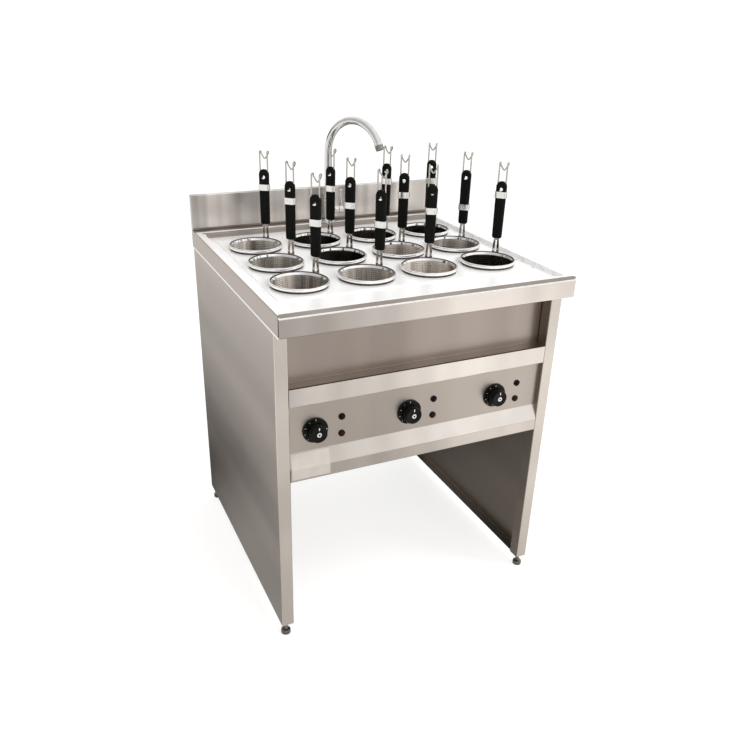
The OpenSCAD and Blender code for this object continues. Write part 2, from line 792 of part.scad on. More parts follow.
module foot_front_left() {
    foot(-foot_x, foot_places()[0]);
}

module foot_front_right() {
    foot(foot_x, foot_places()[0]);
}

module foot_rear_left() {
    foot(-foot_x, foot_places()[1]);
}

module foot_rear_right() {
    foot(foot_x, foot_places()[1]);
}

// Places a handle piece: its own +Y points away from the strainer's axis
module at_handle(row, col) {
    translate([strainer_x(col), strainer_y(row), 0]) rotate([0, 0, -handle_turns[row][col]])
        translate([0, handle_r, 0]) children();
}

// Half section of the strainer: rolled rim, straight neck, tapered wall and flat floor
module bowl_section() {
    z0 = plate_z - bowl_h;
    neck_r = neck_d / 2;
    neck_z = plate_z - neck_h;
    rim_z = plate_z + bowl_rim_h;
    turn_r = bowl_floor_d / 2 - bowl_r;
    roll_w = bowl_rim_d / 2 - rim_inner_r;
    roll_r = min(bowl_rim_r, roll_share * roll_w);
    outer = concat([[0, z0]], arc(turn_r, z0 + bowl_r, bowl_r, -90, 0), [[neck_r, neck_z]]);
    inner = concat(
        [[rim_inner_r, neck_z]],
        arc(turn_r, z0 + bowl_r, bowl_r - bowl_t, 0, -90),
        [[0, z0 + bowl_t]]
    );
    polygon(concat(outer, [[neck_r, rim_z - roll_r], [rim_inner_r, rim_z - roll_r]], inner));
    translate([rim_inner_r, plate_z]) square([roll_w, bowl_rim_h - roll_r]);
    translate([rim_inner_r + roll_r, plate_z]) square([roll_w - 2 * roll_r, bowl_rim_h]);
    for (r = [rim_inner_r + roll_r, bowl_rim_d / 2 - roll_r])
        translate([r, rim_z - roll_r]) circle(roll_r);
}

// Wire hook on its two legs: each bends over outwards, and a dipped cross wire joins them
module wire_hook() {
    wire_r = wire_d / 2;
    foot_z = grip_top - wire_in;
    bend_z = grip_top + hook_h - hook_r - wire_r;
    slope = atan2(wire_gap / 2, hook_dip);
    for (side = [-1, 1]) translate([side * wire_gap / 2, 0, 0]) {
        translate([0, 0, foot_z]) cylinder(r = wire_r, h = bend_z - foot_z);
        translate([0, hook_r, bend_z]) rotate([90, 0, -90]) rotate_extrude(angle = 180)
            translate([hook_r, 0]) circle(wire_r);
        translate([0, 2 * hook_r, bend_z]) {
            sphere(ball_share * wire_r);
            rotate([0, 180 + side * slope, 0])
                cylinder(r = wire_r, h = norm([wire_gap / 2, hook_dip]));
        }
    }
    translate([0, 2 * hook_r, bend_z - hook_dip]) sphere(ball_share * wire_r);
}

module strainer(row, col) {
    foot_z = plate_z + strap_gap;
    slot_z = foot_z + 2 * strap_t;
    half = strap_w / 2;
    slot = strap_slot_w / 2;
    color(bright) {
        translate([strainer_x(col), strainer_y(row), 0]) rotate_extrude() bowl_section();
        at_handle(row, col) {
            difference() {
                block([-half, -strap_t / 2, foot_z], [half, strap_t / 2, grip_z]);
                block([-slot, -strap_t, slot_z], [slot, strap_t, grip_z - 2 * strap_t]);
            }
            block([-half, -handle_out - strap_t, foot_z], [half, strap_t / 2, foot_z + strap_t]);
            block([-tang_w / 2, -strap_t / 2, grip_z - strap_t], [tang_w / 2, strap_t / 2, grip_z + tang_l]);
            wire_hook();
        }
    }
}

// Flat outline of the grip from the front, with its round top
module grip_outline() {
    top_r = grip_w / 2;
    polygon([
        [-grip_end_w / 2, grip_z], [grip_end_w / 2, grip_z],
        [top_r, grip_top - top_r], [-top_r, grip_top - top_r]
    ]);
    translate([0, grip_top - top_r]) circle(top_r);
}

// Rounded section of the grip, grown by a margin
module grip_section(margin) {
    r = grip_t / 2 + margin;
    reach = grip_w / 2 - grip_t / 2;
    translate([-reach, -r]) square([2 * reach, 2 * r]);
    for (side = [-1, 1]) translate([side * reach, 0]) circle(r);
}

module grip(row, col) {
    tang = [tang_w / 2 + grip_clear, strap_t / 2 + grip_clear, 0];
    color(black) at_handle(row, col) difference() {
        intersection() {
            translate([0, grip_t, 0]) rotate([90, 0, 0]) linear_extrude(2 * grip_t) grip_outline();
            translate([0, 0, grip_z]) linear_extrude(grip_l) grip_section(0);
        }
        rod_front([0, grip_t, grip_top - hang_drop], hang_d / 2, 2 * grip_t);
        block(-tang + [0, 0, grip_z - overlap], tang + [0, 0, grip_z + tang_l]);
        for (side = [-1, 1]) translate([side * wire_gap / 2, 0, grip_top - wire_in])
            cylinder(d = wire_d + 2 * grip_clear, h = wire_in + overlap);
    }
}

module band(row, col) {
    middle = grip_top - band_places[row][col] * grip_l;
    color(bright) at_handle(row, col) translate([0, 0, middle - band_h / 2]) difference() {
        linear_extrude(band_h) grip_section(band_clear + band_t);
        translate([0, 0, -overlap]) linear_extrude(band_h + 2 * overlap) grip_section(band_clear);
    }
}

countertop();
hole_plate();
water_tank();
left_side_panel();
right_side_panel();
rear_panel();
recess_panel();
control_box();
control_panel();
knob_left();
knob_middle();
knob_right();
pilot_lamps();
thermostats();
heating_elements();
drain_valve();
drain_lever();
tap_body();
tap_spout();
tap_lever();
foot_front_left();
foot_front_right();
foot_rear_left();
foot_rear_right();
for (row = [0 : row_count - 1], col = columns) {
    place = str(row + 1, col + 1);
    strainer(row, col);
    grip(row, col);
    band(row, col);
}
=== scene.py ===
"""Dresses the pasta cooker: folded stainless sheet, perforated strainers, a chrome tap and black fittings."""

import logging
import math
from collections.abc import Callable, Iterator, Sequence
from dataclasses import dataclass
from enum import Enum
from functools import cache
from typing import Self

import bmesh
import bpy
from mathutils import Matrix, Vector


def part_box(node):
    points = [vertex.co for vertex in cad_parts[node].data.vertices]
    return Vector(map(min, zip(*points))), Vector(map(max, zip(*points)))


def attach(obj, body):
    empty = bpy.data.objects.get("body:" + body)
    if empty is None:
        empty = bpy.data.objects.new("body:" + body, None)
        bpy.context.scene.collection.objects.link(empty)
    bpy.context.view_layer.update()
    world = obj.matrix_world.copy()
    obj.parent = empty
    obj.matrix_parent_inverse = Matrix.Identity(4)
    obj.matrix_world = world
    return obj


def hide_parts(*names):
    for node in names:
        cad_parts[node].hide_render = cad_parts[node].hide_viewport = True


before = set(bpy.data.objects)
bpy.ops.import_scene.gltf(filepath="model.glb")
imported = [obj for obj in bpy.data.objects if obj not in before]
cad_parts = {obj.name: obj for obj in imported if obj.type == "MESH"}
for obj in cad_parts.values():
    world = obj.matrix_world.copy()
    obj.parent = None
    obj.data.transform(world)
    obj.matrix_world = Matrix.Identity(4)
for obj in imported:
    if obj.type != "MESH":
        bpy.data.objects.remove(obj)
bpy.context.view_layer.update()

LOG = logging.getLogger("pasta_cooker")
X_AXIS = Vector((1.0, 0.0, 0.0))
Y_AXIS = Vector((0.0, 1.0, 0.0))
Z_AXIS = Vector((0.0, 0.0, 1.0))
ORIGIN = Vector((0.0, 0.0, 0.0))
# Thickness of the sheet steel, in metres like every length here
SHEET = 0.0015
# Points closer than this count as one
NEAR = 1e-5
# A direction with this share along an axis lies along it
SQUARE = 0.9
# A face with this share leans that way
LEAN = 0.3

Test = Callable[[Vector, Vector], bool]
Pair = tuple[float, float]
Inputs = dict[str | int, object]
Tree = bpy.types.NodeTree
Socket = bpy.types.NodeSocket
Feed = bpy.types.Node | bpy.types.NodeSocket
Layers = tuple[bpy.types.Node, Inputs, Inputs]


class Part(Enum):
    """What a selection on a mesh holds."""

    VERTEX = "VERT"
    EDGE = "EDGE"
    FACE = "FACE"


class Hand(Enum):
    """Which side of the cooker a piece is on."""

    LEFT = -1
    RIGHT = 1


class Grain(Enum):
    """Which way the sheet was brushed: the millimetres that one streak spans along X, Y and Z."""

    LEVEL = (160.0, 160.0, 2.0)
    UPRIGHT = (2.0, 2.0, 160.0)
    DRAWN = (3.0, 3.0, 240.0)
    TOP = (160.0, 2.0, 160.0)


def linear(hex_code: str) -> tuple[float, float, float, float]:
    """Turn an sRGB hex colour to linear values.

    Args:
        hex_code: The colour as six hex digits after a hash.

    Returns:
        Red, green, blue and full opacity.
    """
    parts = [int(hex_code[i:i + 2], 16) / 255 for i in (1, 3, 5)]
    red, green, blue = [p / 12.92 if p <= 0.04045 else ((p + 0.055) / 1.055) ** 2.4 for p in parts]
    return red, green, blue, 1.0


def add_node(tree: Tree, kind: str, values: Inputs, links: Inputs | None = None) -> bpy.types.Node:
    """Add a node with its settings and links.

    Args:
        tree: The node tree that takes the node.
        kind: The node's type, without the words that every shader node's type starts with.
        values: Settings by property name, and fixed inputs by name or number. Stops fill a colour ramp.
        links: What feeds the inputs: a socket, or a node for its first output.

    Returns:
        The new node.
    """
    node = tree.nodes.new(f"ShaderNode{kind}")
    for key, value in values.items():
        if key == "stops":
            while len(node.color_ramp.elements) < len(value):
                node.color_ramp.elements.new(1.0)
            for element, (position, grey) in zip(node.color_ramp.elements, value):
                element.position = position
                element.color = (grey, grey, grey, 1.0)
        elif isinstance(key, str) and hasattr(node, key):
            setattr(node, key, value)
        else:
            node.inputs[key].default_value = value
    for key, feed in (links or {}).items():
        tree.links.new(feed.outputs[0] if isinstance(feed, bpy.types.Node) else feed, node.inputs[key])
    return node


def ranged(tree: Tree, feed: Feed, span: Sequence[float], soft: bool = False) -> bpy.types.Node:
    """Turn one range of values to another.

    Args:
        tree: The node tree.
        feed: What gives the value.
        span: The two ends of the range, and what they turn to.
        soft: Whether the values run out softly at both ends.

    Returns:
        The new node.
    """
    values = dict(zip(("From Min", "From Max", "To Min", "To Max"), span))
    kind = "SMOOTHSTEP" if soft else "LINEAR"
    return add_node(tree, "MapRange", {"interpolation_type": kind, **values}, {"Value": feed})


def product(tree: Tree, first: Feed, second: Feed) -> bpy.types.Node:
    """Multiply two values."""
    return add_node(tree, "Math", {"operation": "MULTIPLY"}, {0: first, 1: second})


def blank_tree(owner: bpy.types.Material | bpy.types.World) -> Tree:
    """Give a material or a world an empty node tree."""
    owner.use_nodes = True
    owner.node_tree.nodes.clear()
    return owner.node_tree


def looks(way: Vector) -> Test:
    """A test that a face looks one way."""
    return lambda middle, normal: normal.dot(way) > SQUARE


def lines_up(way: Vector) -> Test:
    """A test that a face looks along an axis, either way."""
    return lambda middle, normal: abs(normal.dot(way)) > SQUARE


def arc(centre: Pair, radius: float, start: float, end: float, steps: int = 6) -> list[Pair]:
    """Points along an arc in a plane.

    Args:
        centre: The arc's centre.
        radius: The arc's radius.
        start: The first angle, in degrees.
        end: The last angle, in degrees.
        steps: The number of stretches.

    Returns:
        The points from the first angle to the last.
    """
    turns = [math.radians(start + (end - start) * i / steps) for i in range(steps + 1)]
    return [(centre[0] + radius * math.cos(a), centre[1] + radius * math.sin(a)) for a in turns]


def leave_edit_mode() -> None:
    """Go back to object mode with nothing selected."""
    if bpy.context.mode != "OBJECT":
        bpy.ops.object.mode_set(mode="OBJECT")
    bpy.ops.object.select_all(action="DESELECT")


class Workpiece:
    """One mesh on the bench, shaped by hand tools in edit mode."""

    def __init__(self, name: str) -> None:
        """Take the primitive that was just added, with its place applied, and open it.

        Args:
            name: The piece's name.
        """
        self.obj = bpy.context.object
        self.obj.name = name
        self.obj.data.name = name
        bpy.ops.object.transform_apply(location=True, rotation=True, scale=True)
        bpy.ops.object.mode_set(mode="EDIT")
        bpy.ops.mesh.select_all(action="SELECT")

    @classmethod
    def block(cls, name: str, low: Sequence[float], high: Sequence[float]) -> Self:
        """Start from a block.

        Args:
            name: The piece's name.
            low: The lowest corner.
            high: The highest corner.

        Returns:
            The new workpiece.
        """
        leave_edit_mode()
        middle = (Vector(low) + Vector(high)) / 2
        bpy.ops.mesh.primitive_cube_add(size=1.0, location=middle, scale=Vector(high) - Vector(low))
        return cls(name)

    @classmethod
    def rod(cls, name: str, start: Vector, end: Vector, radius: float, sides: int = 48) -> Self:
        """Start from a rod.

        Args:
            name: The piece's name.
            start: The middle of one end.
            end: The middle of the other.
            radius: The rod's radius.
            sides: The number of its sides.

        Returns:
            The new workpiece.
        """
        leave_edit_mode()
        run = end - start
        bpy.ops.mesh.primitive_cylinder_add(
            vertices=sides, radius=radius, depth=run.length, location=(start + end) / 2,
            rotation=run.to_track_quat("Z", "Y").to_euler())
        return cls(name)

    @classmethod
    def disc(cls, name: str, centre: Vector, radius: float, sides: int) -> Self:
        """Start from a level disc.

        Args:
            name: The piece's name.
            centre: The disc's middle.
            radius: The disc's radius.
            sides: The number of its sides.

        Returns:
            The new workpiece.
        """
        leave_edit_mode()
        bpy.ops.mesh.primitive_circle_add(vertices=sides, radius=radius, fill_type="NGON", location=centre)
        return cls(name)

    @classmethod
    def line(cls, name: str, points: Sequence[Vector]) -> Self:
        """Draw a line of edges, pulled out from one vertex to point after point.

        Args:
            name: The piece's name.
            points: The line's points.

        Returns:
            The new workpiece.
        """
        leave_edit_mode()
        bpy.ops.mesh.primitive_plane_add(size=0.01)
        work = cls(name)
        bpy.ops.mesh.select_mode(type=Part.VERTEX.value)
        bpy.ops.mesh.merge(type="CENTER")
        bpy.ops.transform.translate(value=points[0])
        for start, end in zip(points, points[1:]):
            bpy.ops.mesh.extrude_region_move(TRANSFORM_OT_translate={"value": end - start})
        return work

    @classmethod
    def turned(
        cls, name: str, profile: Sequence[Pair], base: Vector, axis: Vector = Z_AXIS, steps: int = 48
    ) -> Self:
        """Turn a profile round an axis, as on a lathe.

        Args:
            name: The piece's name.
            profile: Pairs of radius and height along the axis.
            base: The point from which heights count.
            axis: The lathe's axis.
            steps: The number of stretches round the axis.

        Returns:
            The turned piece.
        """
        work = cls.line(name, [Vector((radius, 0.0, height)) for radius, height in profile])
        work.whole().spin(ORIGIN, Z_AXIS, math.tau, steps).close()
        turn = axis.to_track_quat("Z", "X").to_matrix().to_4x4()
        return work.place(Matrix.Translation(base) @ turn)

    @classmethod
    def folded(
        cls, name: str, points: Sequence[Vector], run: Vector, bend: float, sheet: float = SHEET
    ) -> Self:
        """Fold a sheet along a drawn line.

        Args:
            name: The piece's name.
            points: The middle of the sheet, seen end on.
            run: How far and which way the line is drawn out.
            bend: The radius of each fold.
            sheet: The sheet's thickness.

        Returns:
            The folded sheet.
        """
        work = cls.line(name, points)
        work.whole().extrude(run)
        way = run.normalized()
        folds = [p + run / 2 for p in points[1:-1]]
        work.pick(Part.EDGE, lambda middle, along: any((middle - f).length < NEAR for f in folds)
                  and abs(along.dot(way)) > SQUARE)
        return work.bevel(bend, 4).close().modify("SOLIDIFY", thickness=sheet, offset=0.0)

    def take(self) -> None:
        """Make this the active object, and the only one selected."""
        leave_edit_mode()
        self.obj.select_set(True)
        bpy.context.view_layer.objects.active = self.obj

    def open(self) -> None:
        """Open this mesh in edit mode, and close any other."""
        if bpy.context.object != self.obj or self.obj.mode != "EDIT":
            self.take()
            bpy.ops.object.mode_set(mode="EDIT")

    def whole(self) -> Self:
        """Select the whole mesh."""
        self.open()
        bpy.ops.mesh.select_all(action="SELECT")
        return self

    def pick(self, part: Part, test: Test) -> Self:
        """Select by place and direction.

        Args:
            part: What is selected.
            test: Takes the middle of a part, with a face's normal, an edge's run or a vertex's normal.

        Returns:
            The same workpiece.
        """
        self.open()
        bpy.ops.mesh.select_mode(type=part.value)
        bpy.ops.mesh.select_all(action="DESELECT")
        mesh = bmesh.from_edit_mesh(self.obj.data)
        mesh.normal_update()
        if part is Part.FACE:
            for face in mesh.faces:
                face.select_set(test(face.calc_center_median(), face.normal))
        elif part is Part.EDGE:
            for edge in mesh.edges:
                start, end = (v.co for v in edge.verts)
                edge.select_set(test((start + end) / 2, (end - start).normalized()))
        else:
            for vertex in mesh.verts:
                vertex.select_set(test(vertex.co, vertex.normal))
        mesh.select_flush_mode()
        bmesh.update_edit_mesh(self.obj.data)
        return self

    def extrude(self, move: Sequence[float]) -> Self:
        """Pull the selection out."""
        self.open()
        bpy.ops.mesh.extrude_region_move(TRANSFORM_OT_translate={"value": move})
        return self

    def inset(self, width: float, depth: float = 0.0, each: bool = False) -> Self:
        """Draw the selected faces in from their edges, together or each by itself."""
        bpy.ops.mesh.inset(thickness=width, depth=depth, use_individual=each)
        return self

    def slice(self, point: Vector, normal: Vector) -> Self:
        """Draw a line of edges round the whole mesh where a plane cuts it."""
        self.whole()
        bpy.ops.mesh.bisect(plane_co=point, plane_no=normal)
        return self

    def bevel(self, width: float, steps: int = 3) -> Self:
        """Round the selected edges."""
        bpy.ops.mesh.bevel(offset=width, segments=steps, affect="EDGES")
        return self

    def weigh(self, weight: float) -> Self:
        """Set how much of a later bevel the selected edges take."""
        bpy.ops.transform.edge_bevelweight(value=weight)
        return self

    def move(self, by: Sequence[float]) -> Self:
        """Move the selection."""
        bpy.ops.transform.translate(value=by)
        return self

    def resize(self, by: Sequence[float], centre: Sequence[float]) -> Self:
        """Scale the selection about a point."""
        bpy.ops.transform.resize(value=by, center_override=centre)
        return self

    def spin(self, centre: Vector, axis: Vector, angle: float, steps: int) -> Self:
        """Sweep the selection round an axis."""
        bpy.ops.mesh.spin(steps=steps, angle=angle, center=centre, axis=axis)
        return self

    def fill(self) -> Self:
        """Close the selected outline with a face."""
        bpy.ops.mesh.edge_face_add()
        return self

    def bridge(self) -> Self:
        """Join the two selected faces by a hole through the piece."""
        bpy.ops.mesh.bridge_edge_loops()
        return self

    def delete(self, part: Part) -> Self:
        """Delete the selection."""
        bpy.ops.mesh.delete(type=part.value)
        return self

    def close(self) -> Self:
        """Merge doubles and turn every face outwards."""
        self.whole()
        bpy.ops.mesh.remove_doubles(threshold=1e-6)
        bpy.ops.mesh.normals_make_consistent(inside=False)
        return self

    def modify(self, kind: str, **settings: object) -> Self:
        """Add a modifier and apply it.

        Args:
            kind: The modifier's type.
            settings: Its settings by name.

        Returns:
            The same workpiece.
        """
        self.open()
        bpy.ops.object.mode_set(mode="OBJECT")
        made = self.obj.modifiers.new(kind.lower(), kind)
        for key, value in settings.items():
            setattr(made, key, value)
        bpy.ops.object.modifier_apply(modifier=made.name)
        return self

    def soften(self, width: float = 0.0005, steps: int = 2) -> Self:
        """Round every sharp edge a little."""
        return self.modify(
            "BEVEL", width=width, segments=steps, limit_method="ANGLE", angle_limit=math.radians(40),
            use_clamp_overlap=True)

    def cut(self, tool: Self) -> Self:
        """Cut another workpiece out of this one.

        Args:
            tool: The other workpiece, which is used up.

        Returns:
            The same workpiece.
        """
        leave_edit_mode()
        self.modify("BOOLEAN", operation="DIFFERENCE", solver="EXACT", object=tool.obj)
        bpy.data.objects.remove(tool.obj)
        return self

    def join(self, *others: Self) -> Self:
        """Take other workpieces into this mesh.

        Args:
            others: The workpieces, which are used up.

        Returns:
            The same workpiece.
        """
        self.take()
        for work in others:
            work.obj.select_set(True)
        bpy.ops.object.join()
        return self

    def place(self, matrix: Matrix) -> Self:
        """Move the whole mesh.

        Args:
            matrix: How the mesh is moved and turned.

        Returns:
            The same workpiece.
        """
        leave_edit_mode()
        self.obj.data.transform(matrix)
        self.obj.data.update()
        return self

    def copy(self, name: str, matrix: Matrix) -> Self:
        """Copy the piece with its own mesh.

        Args:
            name: The copy's name.
            matrix: How the copy is moved and turned.

        Returns:
            The copy.
        """
        leave_edit_mode()
        twin = Workpiece.__new__(Workpiece)
        twin.obj = self.obj.copy()
        twin.obj.data = self.obj.data.copy()
        twin.obj.name = name
        twin.obj.data.name = name
        bpy.context.scene.collection.objects.link(twin.obj)
        return twin.place(matrix)

    def discard(self) -> None:
        """Throw the workpiece away once its copies are made."""
        leave_edit_mode()
        bpy.data.objects.remove(self.obj)

    def smooth(self, degrees: float = 35.0) -> Self:
        """Shade round faces smoothly, and keep sharp edges sharp and broad faces flat.

        Args:
            degrees: The angle from which an edge stays sharp.

        Returns:
            The same workpiece.
        """
        self.take()
        bpy.ops.object.shade_smooth_by_angle(angle=math.radians(degrees))
        return self.modify("WEIGHTED_NORMAL", keep_sharp=True, weight=80)

    def finish(self, finish: "Finish") -> Self:
        """Give the whole piece one finish.

        Args:
            finish: The finish.

        Returns:
            The same workpiece.
        """
        leave_edit_mode()
        self.obj.data.materials.clear()
        self.obj.data.materials.append(material_of(finish))
        for face in self.obj.data.polygons:
            face.material_index = 0
        return self

    def paint(self, finish: "Finish", test: Test) -> Self:
        """Give some faces another finish.

        Args:
            finish: The finish.
            test: Takes a face's middle and normal, and picks the faces.

        Returns:
            The same workpiece.
        """
        leave_edit_mode()
        self.obj.data.materials.append(material_of(finish))
        number = len(self.obj.data.materials) - 1
        for face in self.obj.data.polygons:
            if test(face.center, face.normal):
                face.material_index = number
        return self

    def mount(self, body: str, slot: str, *nodes: str) -> Self:
        """Let the piece ride on a body, in the place of CAD nodes.

        Args:
            body: The CAD body that carries the piece.
            slot: The record's material slot; not used.
            nodes: The CAD nodes that the piece stands for.

        Returns:
            The same workpiece.
        """
        leave_edit_mode()
        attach(self.obj, body)
        if nodes:
            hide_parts(*nodes)
        LOG.info("%s rides on %s", self.obj.name, body)
        return self


@dataclass(frozen=True)
class Finish:
    """A surface finish; each kind lays its own patterns."""

    name: str
    tone: str

    def pattern(self, tree: Tree, place: Socket) -> Layers:
        """Lay the patterns over the piece.

        Args:
            tree: The material's node tree.
            place: The piece's own coordinates.

        Returns:
            What scales the tone, then the shader's fixed inputs, and then its linked ones.
        """
        raise NotImplementedError


@cache
def material_of(finish: Finish) -> bpy.types.Material:
    """Make a finish's material once.

    Args:
        finish: The finish.

    Returns:
        Its material.
    """
    made = bpy.data.materials.new(finish.name)
    tree = blank_tree(made)
    place = add_node(tree, "TexCoord", {}).outputs["Object"]
    level, fixed, linked = finish.pattern(tree, place)
    tint = {"operation": "SCALE", 0: linear(finish.tone)[:3]}
    colour = add_node(tree, "VectorMath", tint, {"Scale": level})
    shader = add_node(tree, "BsdfPrincipled", fixed, {"Base Color": colour, **linked})
    add_node(tree, "OutputMaterial", {}, {"Surface": shader})
    return made


# Stainless sheet, brushed with a belt: fine streaks one way, and broad soft bands across them, partly the
# sheet's own tone and partly painted reflection.
# The real streaks are about 0.2 mm wide; they are drawn 2 mm wide so that they show.
# A band runs on for 2400 mm, and a painted shade darkens the left end of a long sheet.
@dataclass(frozen=True)
class BrushedSteel(Finish):
    """Belt-brushed stainless sheet."""

    grain: Grain = Grain.LEVEL
    band: float = 0.22
    streak: float = 0.05
    rough: float = 0.34
    band_mm: float = 95.0
    metal: float = 1.0
    band_detail: float = 1.0
    drift: float = 0.0
    run_mm: float = 2400.0

    def pattern(self, tree: Tree, place: Socket) -> Layers:
        """Streaks, bands of tone and painted reflection, and painted shade towards the left end in the
        colour; streaks in roughness and bump.
        """
        near = 1000.0 / self.band_mm
        far = 1000.0 / self.run_mm
        fine = [1000.0 / size for size in self.grain.value]
        broad = (far, far, near) if self.grain is Grain.UPRIGHT else (near, near, far)
        sway = min(0.06, 2.0 * self.streak)
        along = add_node(tree, "Mapping", {"Scale": fine}, {"Vector": place})
        noise = {"Scale": 1.0, "Roughness": 0.6}
        streaks = add_node(tree, "TexNoise", {**noise, "Detail": 3.0}, {"Vector": along})
        across = add_node(tree, "Mapping", {"Scale": broad}, {"Vector": place})
        # Broad bands: partly the sheet's own tone, partly painted reflection
        bands = add_node(tree, "TexNoise", {**noise, "Detail": self.band_detail}, {"Vector": across})
        swing = ranged(tree, bands, (0.36, 0.64, 1.0 - self.band, 1.0 + self.band))
        shift = ranged(tree, streaks, (0.25, 0.75, 1.0 - self.streak, 1.0 + self.streak))
        sideways = add_node(tree, "SeparateXYZ", {}, {"Vector": place})
        # Painted shade: the colour darkens towards the left end
        slope = ranged(tree, sideways, (-0.4, 0.05, 1.0 - self.drift, 1.0), soft=True)
        level = product(tree, product(tree, swing, shift), slope)
        rough = ranged(tree, streaks, (0.25, 0.75, self.rough - sway, self.rough + sway))
        bump = add_node(tree, "Bump", {"Strength": self.streak, "Distance": 0.0004}, {"Height": streaks})
        return level, {"Metallic": self.metal}, {"Roughness": rough, "Normal": bump}


# Polished or plated metal: nearly a mirror, with a faint cloud of wiping marks in its gloss.
@dataclass(frozen=True)
class PolishedMetal(Finish):
    """Bright metal with wiping marks."""

    rough: float = 0.1
    cloud_mm: float = 14.0
    metal: float = 1.0

    def pattern(self, tree: Tree, place: Socket) -> Layers:
        """Clouds in the colour and in the roughness."""
        noise = {"Scale": 1000.0 / self.cloud_mm, "Detail": 4.0, "Roughness": 0.6}
        clouds = add_node(tree, "TexNoise", noise, {"Vector": place})
        level = ranged(tree, clouds, (0.3, 0.7, 0.9, 1.06))
        rough = ranged(tree, clouds, (0.3, 0.7, 0.7 * self.rough, 1.4 * self.rough))
        return level, {"Metallic": self.metal}, {"Roughness": rough}


# Moulded plastic: a fine spark-eroded grain from the mould, and a slightly lighter bloom where it is handled.
@dataclass(frozen=True)
class MouldedPlastic(Finish):
    """Plastic with a fine mould grain."""

    rough: float = 0.42
    grit_mm: float = 0.9
    glow: float = 0.25
    gloss: float = 0.5
    mark_mm: float = 22.0

    def pattern(self, tree: Tree, place: Socket) -> Layers:
        """Grain in the bump, handling marks in the colour and the gloss."""
        grit = add_node(tree, "TexNoise", {"Scale": 1000.0 / self.grit_mm, "Detail": 2.0}, {"Vector": place})
        marks = add_node(tree, "TexNoise", {"Scale": 1000.0 / self.mark_mm, "Detail": 3.0}, {"Vector": place})
        level = ranged(tree, marks, (0.3, 0.7, 1.0 - self.glow, 1.0 + self.glow))
        rough = ranged(tree, marks, (0.3, 0.7, self.rough - 0.05, self.rough + 0.08))
        bump = add_node(tree, "Bump", {"Strength": 0.12, "Distance": 0.0003}, {"Height": grit})
        return level, {"Specular IOR Level": self.gloss}, {"Roughness": rough, "Normal": bump}


# Ribbed lens of coloured acrylic: dark while unlit, glossy, with ribs pressed into it.
# A wave texture at scale 1 repeats every tenth of pi metres.
@dataclass(frozen=True)
class LampLens(Finish):
    """Coloured acrylic of an unlit lamp."""

    rib_mm: float = 3.016

    def pattern(self, tree: Tree, place: Socket) -> Layers:
        """Pressed ribs in the bump, and a tint that varies with the thickness."""
        waves = {"Scale": 100.0 * math.pi / self.rib_mm, "Distortion": 0.0}
        ribs = add_node(tree, "TexWave", waves, {"Vector": place}).outputs["Fac"]
        level = ranged(tree, ribs, (0.0, 1.0, 0.75, 1.25))
        bump = add_node(tree, "Bump", {"Strength": 0.15, "Distance": 0.0003}, {"Height": ribs})
        return level, {"Roughness": 0.12, "IOR": 1.49, "Specular IOR Level": 0.1}, {"Normal": bump}


# Satin sheet: pale and soft, almost without streaks, so that it takes the white of the room; its near-white
# tone is painted light on faces that look up
WORKTOP_STEEL = BrushedSteel(
    "satin_stainless_worktop", "#fbfaf9", Grain.TOP,
    band=0.012, streak=0.015, rough=0.34, band_mm=300.0, metal=0.35)
PLATE_STEEL = BrushedSteel(
    "satin_stainless_plate", "#fbfaf9", Grain.TOP,
    band=0.012, streak=0.012, rough=0.3, band_mm=300.0, metal=0.35)
# Belt-brushed along the front: level streaks, with painted light brighter on the right and painted shade
# darker at the left end; the skirt that faces up is a lighter copy and the lip a darker one
FASCIA_STEEL = BrushedSteel(
    "brushed_stainless_fascia", "#ddd5ce", Grain.LEVEL,
    band=0.14, streak=0.03, rough=0.32, band_mm=130.0, drift=0.5)
RAIL_STEEL = BrushedSteel(
    "brushed_stainless_rail", "#dcd5ce", Grain.LEVEL,
    band=0.14, streak=0.03, rough=0.32, band_mm=110.0, drift=0.22)
SKIRT_STEEL = BrushedSteel(
    "brushed_stainless_skirt", "#e2dbd4", Grain.LEVEL,
    band=0.12, streak=0.03, rough=0.32, band_mm=110.0, drift=0.36)
LIP_STEEL = BrushedSteel(
    "brushed_stainless_lip", "#c6beb6", Grain.LEVEL,
    band=0.14, streak=0.03, rough=0.32, band_mm=120.0, drift=0.3)
# Brushed level and set back under the worktop: greyer, with painted shade, and long faint streaks
RECESS_STEEL = BrushedSteel(
    "brushed_stainless_recess", "#a2978f", Grain.LEVEL, band=0.12, streak=0.03, rough=0.34, band_mm=120.0)
LEDGE_STEEL = BrushedSteel("brushed_stainless_ledge", "#c4bab2", Grain.TOP, band=0.08, streak=0.04)
PANEL_STEEL = BrushedSteel(
    "brushed_stainless_panel", "#b0a79f", Grain.LEVEL, band=0.07, streak=0.03, rough=0.34, band_mm=120.0)
# Brushed upright: broad bands of tone with painted light and shade that run into each other; the posts are a
# lighter copy with painted light, and the inner faces a darker copy with painted shade
SIDE_STEEL = BrushedSteel(
    "brushed_stainless_side", "#aaa199", Grain.UPRIGHT, band=0.2, streak=0.03, rough=0.36, band_mm=230.0)
POST_STEEL = BrushedSteel(
    "brushed_stainless_post", "#d0c8c0", Grain.UPRIGHT, band=0.08, streak=0.03, rough=0.34, band_mm=260.0)
INNER_SHADE_STEEL = BrushedSteel(
    "brushed_stainless_inner_painted_shade", "#887e75", Grain.UPRIGHT,
    band=0.08, streak=0.04, rough=0.4, band_mm=180.0)
REAR_STEEL = BrushedSteel(
    "brushed_stainless_rear", "#aaa29b", Grain.UPRIGHT, band=0.1, streak=0.04, rough=0.34, band_mm=190.0)
